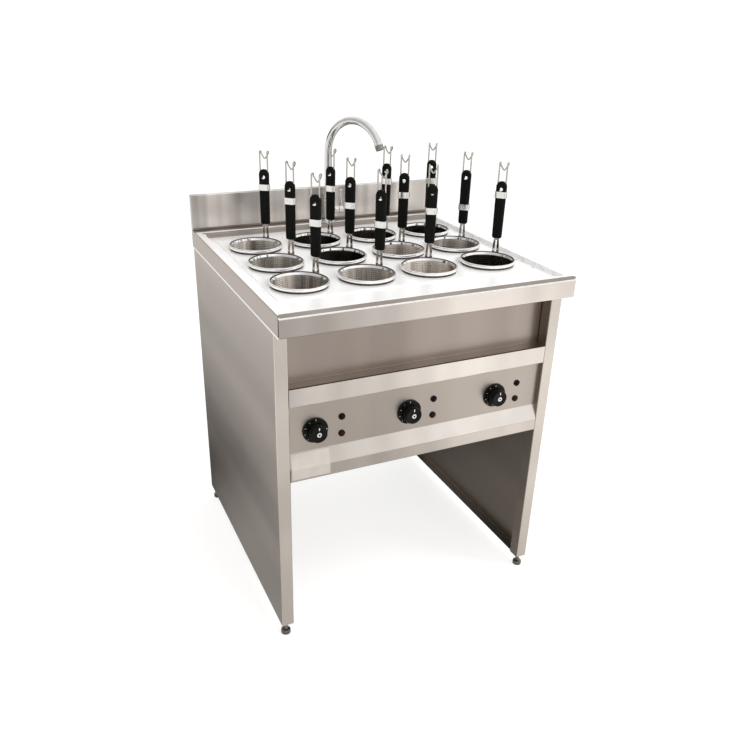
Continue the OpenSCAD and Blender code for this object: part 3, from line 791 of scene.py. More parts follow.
# Drawn sheet, nearly a mirror: tall soft stripes of painted reflection, hardly any streak
SPLASH_STEEL = BrushedSteel(
    "brushed_stainless_splashback", "#dcd5cf", Grain.DRAWN,
    band=0.3, streak=0.006, rough=0.3, band_mm=46.0, metal=0.9, band_detail=1.5)
# Painted shade: a darker, blurred line along each bend, and a near-black painted shadow line in creases and
# gaps
BEND_SHADE_STEEL = BrushedSteel(
    "stainless_bend_painted_shade", "#a39a92", Grain.LEVEL, band=0.1, streak=0.04, rough=0.42)
SHADOW_LINE_STEEL = BrushedSteel(
    "stainless_shadow_line_painted", "#544c45", Grain.LEVEL, band=0.1, streak=0.04, rough=0.4)
# Unpolished sheet inside the tank: dull and grey
TANK_STEEL = BrushedSteel("satin_stainless_tank", "#8f8983", Grain.TOP, band=0.12, streak=0.06)
# Perforated sheet, rolled to a wall: broken upright stripes of tone and painted reflection, and a nearly
# black copy that is painted shade
MESH_STEEL = BrushedSteel(
    "perforated_stainless", "#d4cbc2", Grain.DRAWN,
    band=0.6, streak=0.12, rough=0.4, band_mm=42.0, metal=0.4, band_detail=2.5)
SHADED_MESH_STEEL = BrushedSteel(
    "perforated_stainless_painted_shade", "#332c26", Grain.DRAWN,
    band=0.7, streak=0.1, rough=0.3, band_mm=60.0, metal=0.6, band_detail=2.0)
# Polished steel: a white roll, bright bands and wire, and a near-white neck steel that is painted highlight,
# also on the worktop's hems and side steps
HIGHLIGHT_STEEL = PolishedMetal("stainless_painted_highlight", "#fdfcfb", rough=0.3, cloud_mm=30.0, metal=0.1)
RIM_STEEL = PolishedMetal("polished_stainless", "#faf8f6", rough=0.08, cloud_mm=12.0)
BAND_STEEL = PolishedMetal("polished_steel_band", "#ecebe8", rough=0.14, cloud_mm=7.0)
WIRE_STEEL = PolishedMetal("drawn_steel_wire", "#c6c2bc", rough=0.12, cloud_mm=6.0)
STRAP_STEEL = PolishedMetal("pressed_steel_strap", "#cbc6c0", rough=0.14, cloud_mm=5.0)
# Chrome plate: sharp dark and light stripes, with a satin aerator
CHROME = PolishedMetal("chrome_plate", "#e3e2e0", rough=0.04, cloud_mm=18.0)
AERATOR_STEEL = PolishedMetal("satin_chrome", "#9d9994", rough=0.28, cloud_mm=6.0)
# Working metal: dull zinc, a heater sheath dark from heat, and cast brass
FOOT_STEEL = PolishedMetal("zinc_plated_steel", "#7d7872", rough=0.32, cloud_mm=5.0)
HEATER_STEEL = PolishedMetal("oxidised_heater_sheath", "#5c5650", rough=0.38, cloud_mm=8.0)
BRASS = PolishedMetal("cast_brass", "#b58f4a", rough=0.3, cloud_mm=9.0)
# Moulded plastics: a matt black grip, a glossier black knob, and plain ones out of sight
GRIP_PLASTIC = MouldedPlastic("black_polypropylene", "#0e0e0b", rough=0.46, gloss=0.1)
KNOB_PLASTIC = MouldedPlastic("black_phenolic", "#0a0a08", rough=0.2, gloss=0.14)
GLAND_PLASTIC = MouldedPlastic("grey_nylon", "#4a4a48", rough=0.5)
CERAMIC_PLASTIC = MouldedPlastic("ivory_phenolic", "#d8ccb0", rough=0.5)
LEVER_PLASTIC = MouldedPlastic("red_vinyl", "#8e1f1a", rough=0.45)
# Printed surfaces: pale foil with a faint grain, and white ink that lies flat
FOIL_PLATE = MouldedPlastic("pale_foil", "#cdc6be", rough=0.5, grit_mm=1.5, glow=0.05, gloss=0.3)
DIAL_INK = MouldedPlastic("white_dial_ink", "#e8e6e0", rough=0.6, grit_mm=1.0, glow=0.04)
# Acrylic lenses, unlit: one smoked, one a very dark red
DARK_LENS = LampLens("smoked_acrylic", "#0a0a09")
RED_LENS = LampLens("red_acrylic", "#320d0a")


@dataclass
class Worktop:
    """Pressed worktop with a raised rim and sunk deck, its splashback and the strainers' plate."""

    fascia_h: float = 0.048
    rim_w: float = 0.020
    deck_drop: float = 0.011
    ledge_d: float = 0.046
    splash_t: float = 0.018
    hem_d: float = 0.012
    front_r: float = 0.009
    edge_r: float = 0.0025
    plate_t: float = 0.002
    plate_lip: float = 0.009
    hole_r: float = 0.0627
    hem_r: float = 0.0013
    hem_line: float = 0.0036
    bend_h: float = 0.006
    fold_d: float = 0.012
    deck_reach: float = 0.2
    hole_reach: float = 0.1
    pin_r: float = 0.0022
    pin_wall: float = 0.0004
    pin_edge: float = 0.0006
    pin_h: float = 0.0012
    pin_y: Pair = (-0.160, -0.226)

    def build(self, strainer_places: Sequence[Vector]) -> None:
        """Build the worktop, the splashback and the plate.

        Args:
            strainer_places: The strainers' axes.
        """
        low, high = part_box("countertop")
        rim = Vector((high.x, high.y, low.z + self.fascia_h))
        self.shell(low, rim)
        self.splashback(low, high, rim)
        self.plate(strainer_places)
        self.pins(rim)

    def shell(self, low: Vector, rim: Vector) -> None:
        """Press the worktop from one sheet.

        Args:
            low: The lowest corner of the fascia.
            rim: The rear right corner of the rim.
        """
        plate_low, plate_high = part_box("hole_plate")
        rear = rim.y - self.splash_t - self.ledge_d
        deck_z = rim.z - self.deck_drop
        hole_x = plate_high.x - self.plate_lip
        work = Workpiece.block("pressed_worktop", low, rim)
        work.pick(Part.FACE, looks(-Z_AXIS)).delete(Part.FACE)
        work.pick(Part.FACE, looks(Z_AXIS)).inset(self.rim_w)
        work.pick(Part.VERTEX, lambda at, normal: abs(at.y - rim.y + self.rim_w) < NEAR)
        work.move((0.0, rear - rim.y + self.rim_w, 0.0))
        work.pick(Part.FACE, lambda middle, normal: normal.z > SQUARE and abs(middle.x) < self.rim_w
                  and abs(middle.y) < self.deck_reach)
        work.extrude((0.0, 0.0, -self.deck_drop)).inset(rim.x - self.rim_w - hole_x)
        front_gap = plate_low.y + self.plate_lip - (low.y + rim.x - hole_x)
        rear_gap = plate_high.y - self.plate_lip - (rear + self.rim_w - rim.x + hole_x)
        for end, gap in ((-1, front_gap), (1, rear_gap)):
            work.pick(Part.VERTEX, lambda at, normal: abs(at.z - deck_z) < NEAR
                      and abs(abs(at.x) - hole_x) < NEAR and at.y * end > 0.0).move((0.0, gap, 0.0))
        work.pick(Part.FACE, lambda middle, normal: normal.z > SQUARE and middle.z < deck_z + SHEET
                  and abs(middle.x) < self.rim_w and abs(middle.y) < self.hole_reach).delete(Part.FACE)
        work.pick(Part.EDGE, lambda middle, along: middle.z < low.z + NEAR and middle.y < low.y + NEAR
                  and abs(along.x) > SQUARE).extrude((0.0, self.hem_d, 0.0))
        small = self.edge_r / self.front_r
        work.pick(Part.EDGE, lambda middle, along: True).weigh(small)
        work.pick(Part.EDGE, lambda middle, along: middle.y < low.y + NEAR and middle.z > rim.z - NEAR)
        work.weigh(1.0 - small)
        work.modify("BEVEL", width=self.front_r, segments=4, limit_method="WEIGHT", use_clamp_overlap=True)
        work.modify("SOLIDIFY", thickness=SHEET, offset=-1.0)
        # These slices only mark out strips for painted light and shade: along the foot of each side, and
        # across the rear ledge
        work.slice(low + Z_AXIS * self.hem_line, Z_AXIS)
        for folds in (1, 2):
            work.slice(Y_AXIS * (rear + folds * self.fold_d), Y_AXIS)
        hems = []
        # Each hem is a rod in the near-white neck steel: a painted highlight along the foot of a side
        for x in (low.x + self.hem_r, rim.x - self.hem_r):
            start = Vector((x, low.y + self.front_r, low.z + self.hem_r))
            hem = Workpiece.rod("side_hem", start, Vector((x, rim.y - self.edge_r, start.z)), self.hem_r, 16)
            hem.pick(Part.FACE, lines_up(Y_AXIS)).inset(self.hem_r / 3)
            hems.append(hem.soften(self.hem_r / 4).finish(HIGHLIGHT_STEEL))
        work.finish(FASCIA_STEEL)
        # Painted light: the faces that look up, and the sunk deck, take the near-white worktop steel
        work.paint(WORKTOP_STEEL, lambda middle, normal: normal.z > 0.75
                   or (middle.z > deck_z - SHEET / 3 and abs(middle.x) < rim.x - self.rim_w / 2
                       and low.y + self.rim_w / 2 < middle.y))
        # Painted shade: the end faces of the fascia take the darker side steel
        work.paint(SIDE_STEEL, lambda middle, normal: abs(normal.x) > 0.5
                   and abs(middle.x) > rim.x - self.edge_r)
        # Painted shade on the upper faces of the rounded front edge, a painted highlight line on its lowest
        # faces, and a dark painted line down each front corner
        work.paint(BEND_SHADE_STEEL, lambda middle, normal: 0.4 < normal.z < 0.99 and normal.y < -0.1
                   and middle.y < low.y + self.front_r)
        work.paint(RIM_STEEL, lambda middle, normal: middle.y < low.y + self.front_r and normal.y < -LEAN
                   and 0.05 < normal.z < 0.4)
        work.paint(SHADOW_LINE_STEEL, lambda middle, normal: middle.y < low.y + self.front_r and normal.y < -LEAN
                   and abs(normal.x) > LEAN and normal.z < 0.05)
        # Painted highlight: a bright strip along the foot of each side
        work.paint(RIM_STEEL, lambda middle, normal: abs(middle.x) > rim.x - self.edge_r
                   and abs(normal.x) > 0.5 and middle.z < low.z + self.hem_line)
        # Painted shade: dark strips across the front and the back of the rear ledge with a light one between,
        # the step up to the ledge, and the rounded right edge
        work.paint(BEND_SHADE_STEEL, lambda middle, normal: normal.z > LEAN and middle.z > deck_z + SHEET and (
            rear - self.edge_r < middle.y < rear + self.fold_d or middle.y > rear + 2 * self.fold_d))
        work.paint(BEND_SHADE_STEEL, lambda middle, normal: normal.y < -LEAN and middle.y > 0.0
                   and middle.z > deck_z)
        work.paint(BEND_SHADE_STEEL, lambda middle, normal: min(normal.x, normal.z) > 0.2
                   and middle.x > rim.x - self.edge_r)
        # Painted highlight: the steps down from the side rims to the deck are near white
        work.paint(HIGHLIGHT_STEEL, lambda middle, normal: abs(normal.x) > 0.2 and deck_z < middle.z
                   and abs(abs(middle.x) - rim.x + self.rim_w) < self.edge_r)
        work.join(*hems).smooth().mount("frame", "brushed_stainless", "countertop")

    def splashback(self, low: Vector, high: Vector, rim: Vector) -> None:
        """Fold the splashback as a shallow box with closed ends.

        Args:
            low: The lowest corner of the worktop.
            high: The highest corner of the worktop.
            rim: The rear right corner of the rim.
        """
        work = Workpiece.block("folded_splashback", (low.x, rim.y - self.splash_t, rim.z), high)
        work.pick(Part.FACE, lines_up(X_AXIS)).inset(SHEET, -SHEET / 2, each=True)
        work.soften(self.edge_r / 2, 3).slice(Vector((0.0, 0.0, rim.z + self.bend_h)), Z_AXIS)
        work.smooth().finish(SPLASH_STEEL)
        # Painted shade: the strip at the foot of the splashback, below the slice, is darker
        work.paint(BEND_SHADE_STEEL, lambda middle, normal: normal.y < -LEAN and middle.z < rim.z + self.bend_h)
        work.mount("frame", "brushed_stainless")

    def pins(self, rim: Vector) -> None:
        """Set two small domed pins in the deck, right of the plate.

        Args:
            rim: The rear right corner of the rim.
        """
        deck_z = rim.z - self.deck_drop
        x = (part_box("hole_plate")[1].x + rim.x - self.rim_w) / 2
        profile = [(0.0, -SHEET), (self.pin_r, -SHEET), (self.pin_r, self.pin_wall)]
        profile += arc((self.pin_r - self.pin_edge, self.pin_wall), self.pin_edge, 0.0, 90.0, 3)
        profile.append((0.0, self.pin_h))
        for name, y in zip(("rear", "front"), self.pin_y):
            pin = Workpiece.turned(f"deck_pin_{name}", profile, Vector((x, y, deck_z)), steps=24)
            pin.smooth().finish(WIRE_STEEL).mount("frame", "satin_stainless")

    def plate(self, strainer_places: Sequence[Vector]) -> None:
        """Cut the strainer plate, with the flange that holds it in the deck's opening.

        Args:
            strainer_places: The strainers' axes.
        """
        low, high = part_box("hole_plate")
        slab = high.z - self.plate_t
        middle_y = (low.y + high.y) / 2
        half_d = (high.y - low.y) / 2
        work = Workpiece.block("strainer_plate", (low.x, low.y, slab), high)
        work.pick(Part.FACE, looks(-Z_AXIS)).inset(self.plate_lip).inset(SHEET)
        flange_in = self.plate_lip + SHEET / 2
        work.pick(Part.FACE, lambda middle, normal: normal.z < -SQUARE and abs(
            min(high.x - abs(middle.x), half_d - abs(middle.y - middle_y)) - flange_in) < SHEET / 4)
        work.extrude((0.0, 0.0, low.z - slab))
        down = Z_AXIS * (high.z - low.z + SHEET)
        tools = [
            Workpiece.rod("hole_tool", at - down, at + Z_AXIS * SHEET, self.hole_r, 72)
            for at in strainer_places
        ]
        # Painted light: the whole plate takes a near-white steel, like the faces of the worktop that look up
        work.cut(tools[0].join(*tools[1:])).soften().smooth().finish(PLATE_STEEL)
        work.mount("plate", "satin_stainless", "hole_plate")


@dataclass
class Strainers:
    """Twelve strainers: perforated bowl, rolled rim, strap, wire hook, black grip and sliding band."""

    rows: int = 3
    columns: int = 4
    pitch_x: float = 0.158
    pitch_y: float = 0.155
    plate_front: float = 0.0185
    neck_r: float = 0.0615
    neck_h: float = 0.003
    wall_top: float = 0.0038
    wall: float = 0.0012
    rim_r: float = 0.0655
    rim_h: float = 0.011
    rim_gap: float = 0.0043
    rim_fold: float = 0.0014
    rim_flare: float = 0.0016
    rim_slope: float = 0.3
    floor_r: float = 0.056
    bowl_r: float = 0.014
    hole_rows: int = 30
    hole_columns: int = 96
    web: float = 0.0009
    floor_ring: float = 0.008
    seam_turn: float = 140.0
    handle_r: float = 0.081
    strap_w: float = 0.018
    strap_t: float = 0.0025
    strap_gap: float = 0.001
    strap_waist: float = 0.7
    leg_w: float = 0.0066
    grip_w: float = 0.026
    grip_end_w: float = 0.024
    grip_t: float = 0.013
    grip_round: float = 0.0062
    hang_r: float = 0.0045
    hang_drop: float = 0.019
    wire_r: float = 0.0018
    wire_gap: float = 0.019
    hook_h: float = 0.044
    hook_r: float = 0.005
    hook_dip: float = 0.013
    hook_bend: float = 0.003
    hook_sunk: float = 0.012
    band_t: float = 0.0012
    band_clear: float = 0.00035
    wet: tuple[str, ...] = ("14", "22", "32", "33", "34")

    def places(self) -> Iterator[tuple[str, Vector]]:
        """Each strainer's number and axis, front row first.

        Returns:
            Pairs of row and column digits, and a point on the axis at the plate's top.
        """
        low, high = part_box("hole_plate")
        for row in range(self.rows):
            for column in range(self.columns):
                x = (column - (self.columns - 1) / 2) * self.pitch_x
                y = low.y + self.plate_front + self.neck_r + row * self.pitch_y
                yield f"{row + 1}{column + 1}", Vector((x, y, high.z))

    def build(self) -> None:
        """Model each kind of piece once, and put a copy in every place."""
        grip_low, grip_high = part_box("grip_11")
        bowl_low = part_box("strainer_11")[0]
        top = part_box("hole_plate")[1].z
        bowl = self.bowl(top, bowl_low.z)
        strap = self.strap(top, grip_low.z)
        hook = self.hook(grip_high.z)
        grip = self.grip(grip_low.z, grip_high.z)
        band = self.band()
        for number, axis in self.places():
            low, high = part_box(f"grip_{number}")
            middle = (low + high) / 2
            turn = math.atan2(middle.x - axis.x, middle.y - axis.y)
            place = Matrix.Translation((axis.x, axis.y, 0.0)) @ Matrix.Rotation(-turn, 4, "Z")
            lift = Matrix.Translation((0.0, 0.0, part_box(f"band_{number}")[0].z))
            body = f"basket_{number}"
            shell = bowl.copy(f"perforated_bowl_{number}", place)
            # Painted shade: these bowls take the nearly black copy of the mesh steel
            if number in self.wet:
                shell.obj.data.materials[0] = material_of(SHADED_MESH_STEEL)
            shell.mount(body, "polished_stainless", f"strainer_{number}")
            strap.copy(f"handle_strap_{number}", place).mount(body, "polished_stainless")
            hook.copy(f"wire_hook_{number}", place).mount(body, "polished_stainless")
            grip.copy(f"moulded_grip_{number}", place).mount(body, "black_grip", f"grip_{number}")
            band.copy(f"sliding_band_{number}", place @ lift).mount(
                f"band_{number}", "polished_stainless", f"band_{number}")
        for work in (bowl, strap, hook, grip, band):
            work.discard()

    def bowl(self, top: float, bottom: float) -> Workpiece:
        """Roll the perforated wall, press the floor, and turn the rim and neck.

        Args:
            top: The height of the plate's top.
            bottom: The height of the bowl's underside.

        Returns:
            The bowl at the origin's axis.
        """
        skin = self.wall / 2
        neck_z = top + self.wall_top
        sleeve_r = self.neck_r - self.wall / 3
        wall_r = sleeve_r - skin - self.wall / 12
        corner = (self.floor_r - self.bowl_r, bottom + self.bowl_r)
        corner_r = self.bowl_r - skin
        foot_r = corner[0] + corner_r
        share = [i / self.hole_rows for i in range(self.hole_rows)]
        wall_z = neck_z + skin
        wall = [(wall_r + (foot_r - wall_r) * s, wall_z + (corner[1] - wall_z) * s) for s in share]
        floor_z = bottom + skin
        floor_web = 0.7 * self.web
        inner_r = corner[0] - 2 * self.floor_ring
        outline = wall + arc(corner, corner_r, 0.0, -90.0, 3)
        outline += [(corner[0] - self.floor_ring, floor_z), (inner_r, floor_z)]
        bowl = Workpiece.line("strainer_bowl", [Vector((r, 0.0, z)) for r, z in outline])
        bowl.whole().spin(ORIGIN, Z_AXIS, math.tau, self.hole_columns).close()
        seam = math.tau / self.hole_columns
        seam_turn = math.radians(self.seam_turn)
        bowl.pick(Part.FACE, lambda middle, normal: corner[1] < middle.z
                  and abs(math.atan2(middle.y, middle.x) - seam_turn) > seam).inset(self.web, each=True)
        bowl.delete(Part.FACE)
        bowl.pick(Part.FACE, lambda middle, normal: abs(middle.z - floor_z) < NEAR)
        bowl.inset(floor_web, each=True).delete(Part.FACE)
        middle = Workpiece.line(
            "strainer_floor", [Vector((inner_r * s, 0.0, floor_z)) for s in (1.0, 2 / 3, 1 / 3, 0.0)])
        middle.whole().spin(ORIGIN, Z_AXIS, math.tau, self.hole_columns // 2).close()
        middle.pick(Part.FACE, lambda at, normal: at.xy.length > inner_r / 3).inset(floor_web, each=True)
        middle.delete(Part.FACE)
        bowl.join(middle).close()
        bowl.modify("SOLIDIFY", thickness=self.wall, offset=0.0).finish(MESH_STEEL)
        inner = self.neck_r - self.wall
        roll = (self.rim_r - inner) / 2
        high_z = top + self.rim_h - roll
        under_z = top + self.rim_gap
        foot_z = top - self.neck_h
        section = [(self.neck_r, foot_z), (self.neck_r, top), (self.neck_r, under_z)]
        section += arc((self.rim_r - self.rim_fold, under_z + self.rim_fold), self.rim_fold, -90.0, 0.0, 4)
        section += arc((self.rim_r - roll, high_z), roll, 0.0, 180.0, 12)
        section += [(inner - self.rim_flare, neck_z), (sleeve_r, neck_z), (sleeve_r, foot_z), section[0]]
        rim = Workpiece.turned("strainer_rim", section, ORIGIN, steps=72).finish(RIM_STEEL)
        # Painted highlight: the inside of the rim below the roll's top is near white
        rim.paint(HIGHLIGHT_STEEL, lambda middle, normal: neck_z < middle.z and normal.z < self.rim_slope
                  and normal.xy.dot(middle.xy) < 0.0)
        # Painted shadow: near black on the neck under the roll's outside, and along the inward top of the
        # roll
        rim.paint(SHADOW_LINE_STEEL, lambda middle, normal: (
            middle.z < under_z and normal.xy.dot(middle.xy) > 0.0) or (
            middle.z > high_z and normal.z > self.rim_slope and normal.xy.dot(middle.xy) < 0.0))
        return bowl.join(rim).smooth()

    def strap(self, top: float, grip_z: float) -> Workpiece:
        """Bend the strap from the rim up to the grip, with a slot between its legs.

        Args:
            top: The height of the plate's top.
            grip_z: The height of the grip's lower end.

        Returns:
            The strap, with the handle behind the strainer.
        """
        foot_z = top + self.strap_gap
        half = self.strap_w / 2
        back = self.handle_r + self.strap_t / 2
        legs = Workpiece.block(
            "strap_legs", (-half, back - self.strap_t, foot_z), (half, back, grip_z + self.strap_t))
        legs.pick(Part.FACE, lines_up(Y_AXIS)).inset(self.leg_w).bridge()
        legs.pick(Part.VERTEX, lambda at, normal: at.z > (foot_z + grip_z) / 2)
        legs.resize((self.strap_waist, 1.0, 1.0), (0.0, self.handle_r, grip_z))
        foot = Workpiece.block(
            "strap_foot", (-half, self.rim_r - self.strap_t, foot_z), (half, back, foot_z + self.strap_t))
        return legs.join(foot).soften(0.0006).smooth().finish(STRAP_STEEL)

    def hook(self, grip_top: float) -> Workpiece:
        """Bend the hook from one wire: a leg, a turn over outwards and a dip, and their mirror image.

        Args:
            grip_top: The height of the grip's top.

        Returns:
            The hook, with the handle behind the strainer.
        """
        half = self.wire_gap / 2
        bend_z = grip_top + self.hook_h - self.hook_r - self.wire_r
        lean = math.atan2(half - self.hook_bend, self.hook_dip - self.hook_bend)
        slant = (half - self.hook_bend) / math.sin(lean)
        start = Vector((-half, self.handle_r, grip_top - self.hook_sunk))
        work = Workpiece.disc("wire_hook", start, self.wire_r, 12)
        work.whole().extrude((0.0, 0.0, bend_z - grip_top + self.hook_sunk))
        work.spin(Vector((-half, self.handle_r + self.hook_r, bend_z)), X_AXIS, math.pi, 10)
        over = Vector((-half, self.handle_r + 2 * self.hook_r, bend_z))
        work.spin(over + X_AXIS * self.hook_bend, Y_AXIS, lean, 4)
        work.extrude((slant * math.sin(lean), 0.0, -slant * math.cos(lean)))
        low = Vector((0.0, over.y, bend_z - self.hook_dip + self.hook_bend))
        work.spin(low, Y_AXIS, math.pi / 2 - lean, 4)
        work.delete(Part.FACE)
        work.modify("MIRROR", use_axis=(True, False, False), merge_threshold=0.0004)
        return work.close().smooth().finish(WIRE_STEEL)

    def grip(self, low_z: float, high_z: float) -> Workpiece:
        """Mould the grip: a tapered bar with a round top and a hanging hole.

        Args:
            low_z: The height of the grip's lower end.
            high_z: The height of the grip's top.

        Returns:
            The grip, with the handle behind the strainer.
        """
        top_r = self.grip_w / 2
        outline = [(-self.grip_end_w / 2, low_z), (self.grip_end_w / 2, low_z)]
        outline += arc((0.0, high_z - top_r), top_r, 0.0, 180.0, 14)
        front = self.handle_r - self.grip_t / 2
        work = Workpiece.line("moulded_grip", [Vector((x, front, z)) for x, z in outline])
        work.whole().fill().extrude((0.0, self.grip_t, 0.0))
        work.close()
        work.modify(
            "BEVEL", width=self.grip_round, segments=5, limit_method="ANGLE", angle_limit=math.radians(60))
        eye = Vector((0.0, self.handle_r, high_z - self.hang_drop))
        work.cut(Workpiece.rod(
            "hang_tool", eye - Y_AXIS * self.grip_t, eye + Y_AXIS * self.grip_t, self.hang_r, 24))
        work.smooth(40.0).finish(GRIP_PLASTIC)
        # Painted highlight: the lower part of the hanging hole's bore takes bright steel
        return work.paint(BAND_STEEL, lambda middle, normal: abs(normal.y) < 0.1 and normal.z > 0.4
                          and (middle - eye).xz.length < self.hang_r + self.wall)

    def band(self) -> Workpiece:
        """Form the sliding band round the grip's section, standing on the floor's level.

        Returns:
            The band, with the handle behind the strainer.
        """
        low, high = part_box("band_11")
        reach = (self.grip_w - self.grip_t) / 2
        radius = self.grip_t / 2 + self.band_clear + self.band_t / 2
        outline = arc((reach, self.handle_r), radius, -90.0, 90.0, 10)
        outline += arc((-reach, self.handle_r), radius, 90.0, 270.0, 10)
        outline.append(outline[0])
        work = Workpiece.line("sliding_band", [Vector((x, y, 0.0)) for x, y in outline])
        work.whole().extrude((0.0, 0.0, high.z - low.z))
        work.close().modify("SOLIDIFY", thickness=self.band_t, offset=0.0)
        return work.soften(0.0003).smooth().finish(BAND_STEEL)


@dataclass
class Casing:
    """Folded side panels, recess, control panel and rear panel."""

    post_d: float = 0.030
    lip_w: float = 0.025
    fold_r: float = 0.002
    nut_r: float = 0.009
    nut_h: float = 0.012
    rail_h: float = 0.044
    recess_d: float = 0.032
    panel_h: float = 0.115
    panel_in: float = 0.0115
    skirt_h: float = 0.035
    skirt_return: float = 0.030
    label_w: float = 0.089
    label_edge: float = 0.003
    foil_t: float = 0.0004
    rear_in: float = 0.025
    screw_r: float = 0.004
    screw_h: float = 0.0025
    screw_edge: float = 0.014
    gland_x: float = 0.210
    gland_z: float = 0.060
    gland_r: float = 0.015
    gland_bore: float = 0.007
    gland_l: float = 0.020

    def build(self) -> None:
        """Build every panel of the casing."""
        for hand in Hand:
            self.side(hand)
        self.recess()
        self.control_panel()
        self.rear()

    def side(self, hand: Hand) -> None:
        """Fold one side panel: skin, front and rear posts, and the lip at the foot.

        Args:
            hand: The side that the panel is on.
        """
        low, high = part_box("left_side_panel")
        half = SHEET / 2
        inner = high.x - half
        outline = [
            (inner, low.y + self.post_d), (inner, low.y + half), (low.x + half, low.y + half),
            (low.x + half, high.y - half), (inner, high.y - half), (inner, high.y - self.post_d)]
        name = hand.name.lower()
        work = Workpiece.line(f"{name}_folded_side", [Vector((x, y, low.z + half)) for x, y in outline])
        work.whole().extrude((0.0, 0.0, high.z - low.z - half))
        at_foot = Vector((low.x + half, (low.y + high.y) / 2, low.z + half))
        work.pick(Part.EDGE, lambda middle, along: (middle - at_foot).length < SHEET)
        work.extrude((self.lip_w, 0.0, 0.0))
        corners = [Vector((x, y)) for x, y in outline[1:-1]]
        work.pick(Part.EDGE, lambda middle, along: (middle - at_foot).length < SHEET or (
            abs(along.z) > SQUARE and any((middle.xy - c).length < NEAR for c in corners)))
        work.bevel(self.fold_r, 3).close().modify("SOLIDIFY", thickness=SHEET, offset=0.0)
        foot_x = low.x + SHEET + self.lip_w / 2
        for y in (low.y + self.post_d / 2, high.y - self.post_d / 2):
            at = Vector((foot_x, y, low.z + SHEET))
            nut = Workpiece.rod("foot_nut", at, at + Z_AXIS * (self.nut_h - SHEET), self.nut_r, 6)
            nut.pick(Part.FACE, looks(Z_AXIS)).inset(self.nut_r / 4)
            nut.extrude((0.0, 0.0, -SHEET))
            work.join(nut.soften())
        if hand is Hand.RIGHT:
            work.place(Matrix.Scale(-1.0, 4, X_AXIS)).close()
        work.smooth().finish(SIDE_STEEL)
        # Painted light and shade: the front posts take a lighter copy of the side steel, and the faces inside
        # the kneehole a darker one
        work.paint(POST_STEEL, lambda middle, normal: normal.y < -0.5 and middle.y < low.y + SHEET)
        work.paint(INNER_SHADE_STEEL, lambda middle, normal: normal.x * hand.value < -LEAN)
        work.mount("frame", "brushed_stainless", f"{name}_side_panel")

    def recess(self) -> None:
        """Fold the recess under the worktop: back wall, ledge and rail."""
        low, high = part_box("recess_panel")
        half = SHEET / 2
        front = low.y + half
        ledge_z = low.z + self.rail_h - half
        wall_y = low.y + self.recess_d + half
        line = [
            (wall_y, high.z), (wall_y, ledge_z), (front, ledge_z), (front, low.z + half),
            (low.y + self.panel_in + SHEET, low.z + half)]
        work = self.sheet("folded_recess", line, low.x, high.x - low.x)
        # Painted light and shade: the set-back wall is the greyer copy of the steel, the rail and the ledge
        # lighter ones
        work.smooth().finish(RECESS_STEEL)
        work.paint(RAIL_STEEL, lambda middle, normal: middle.y < low.y + 2 * self.fold_r and normal.y < -0.2)
        work.paint(LEDGE_STEEL, lambda middle, normal: normal.z > 0.8 and middle.y > low.y + self.fold_r)
        # Painted shadow: a dark line along the fold at the top of the rail
        work.paint(SHADOW_LINE_STEEL, lambda middle, normal: LEAN < normal.z < 0.98
                   and middle.y < low.y + 2 * self.fold_r)
        work.mount("frame", "brushed_stainless", "recess_panel")

    def control_panel(self) -> None:
        """Fold the control panel with its slanted skirt, and lay a blank foil plate over the left end."""
        low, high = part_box("control_panel")
        half = SHEET / 2
        panel_y = low.y + self.panel_in + half
        panel_z = high.z - self.panel_h
        skirt_z = panel_z - self.skirt_h
        front = low.y + half
        line = [
            (panel_y, high.z), (panel_y, panel_z), (front, skirt_z), (front, low.z + half),
            (low.y + self.skirt_return, low.z + half)]
        work = self.sheet("folded_control_panel", line, low.x, high.x - low.x)
        work.smooth().finish(PANEL_STEEL)
        # Painted light and shade: the skirt that faces up takes a lighter copy of the steel, and the lip
        # below it a darker one
        work.paint(SKIRT_STEEL, lambda middle, normal: normal.y < -0.5 and 0.1 < normal.z < 0.5)
        work.paint(LIP_STEEL, lambda middle, normal: normal.y < -0.5 and middle.z < skirt_z - self.fold_r)
        work.mount("frame", "brushed_stainless", "control_panel")
        rise = (panel_y - front) / (panel_z - skirt_z)
        top_z = panel_z - self.label_edge / 2
        foil_y = front - half - self.foil_t
        line = [
            (foil_y + rise * (top_z - skirt_z), top_z), (foil_y, skirt_z),
            (foil_y, low.z + 2 * self.label_edge)]
        foil = self.sheet("blank_foil_plate", line, low.x + self.label_edge, self.label_w, self.foil_t)
        foil.smooth().finish(FOIL_PLATE).mount("frame", "satin_stainless")

    def sheet(
        self, name: str, line: Sequence[Pair], left: float, width: float, thick: float = SHEET
    ) -> Workpiece:
        """Fold a sheet that runs across the cooker.

        Args:
            name: The sheet's name.
            line: Depths and heights of the sheet's middle, seen end on.
            left: Where its left end is.
            width: Its width.
            thick: Its thickness.

        Returns:
            The folded sheet.
        """
        points = [Vector((left, y, z)) for y, z in line]
        return Workpiece.folded(name, points, X_AXIS * width, self.fold_r, thick)

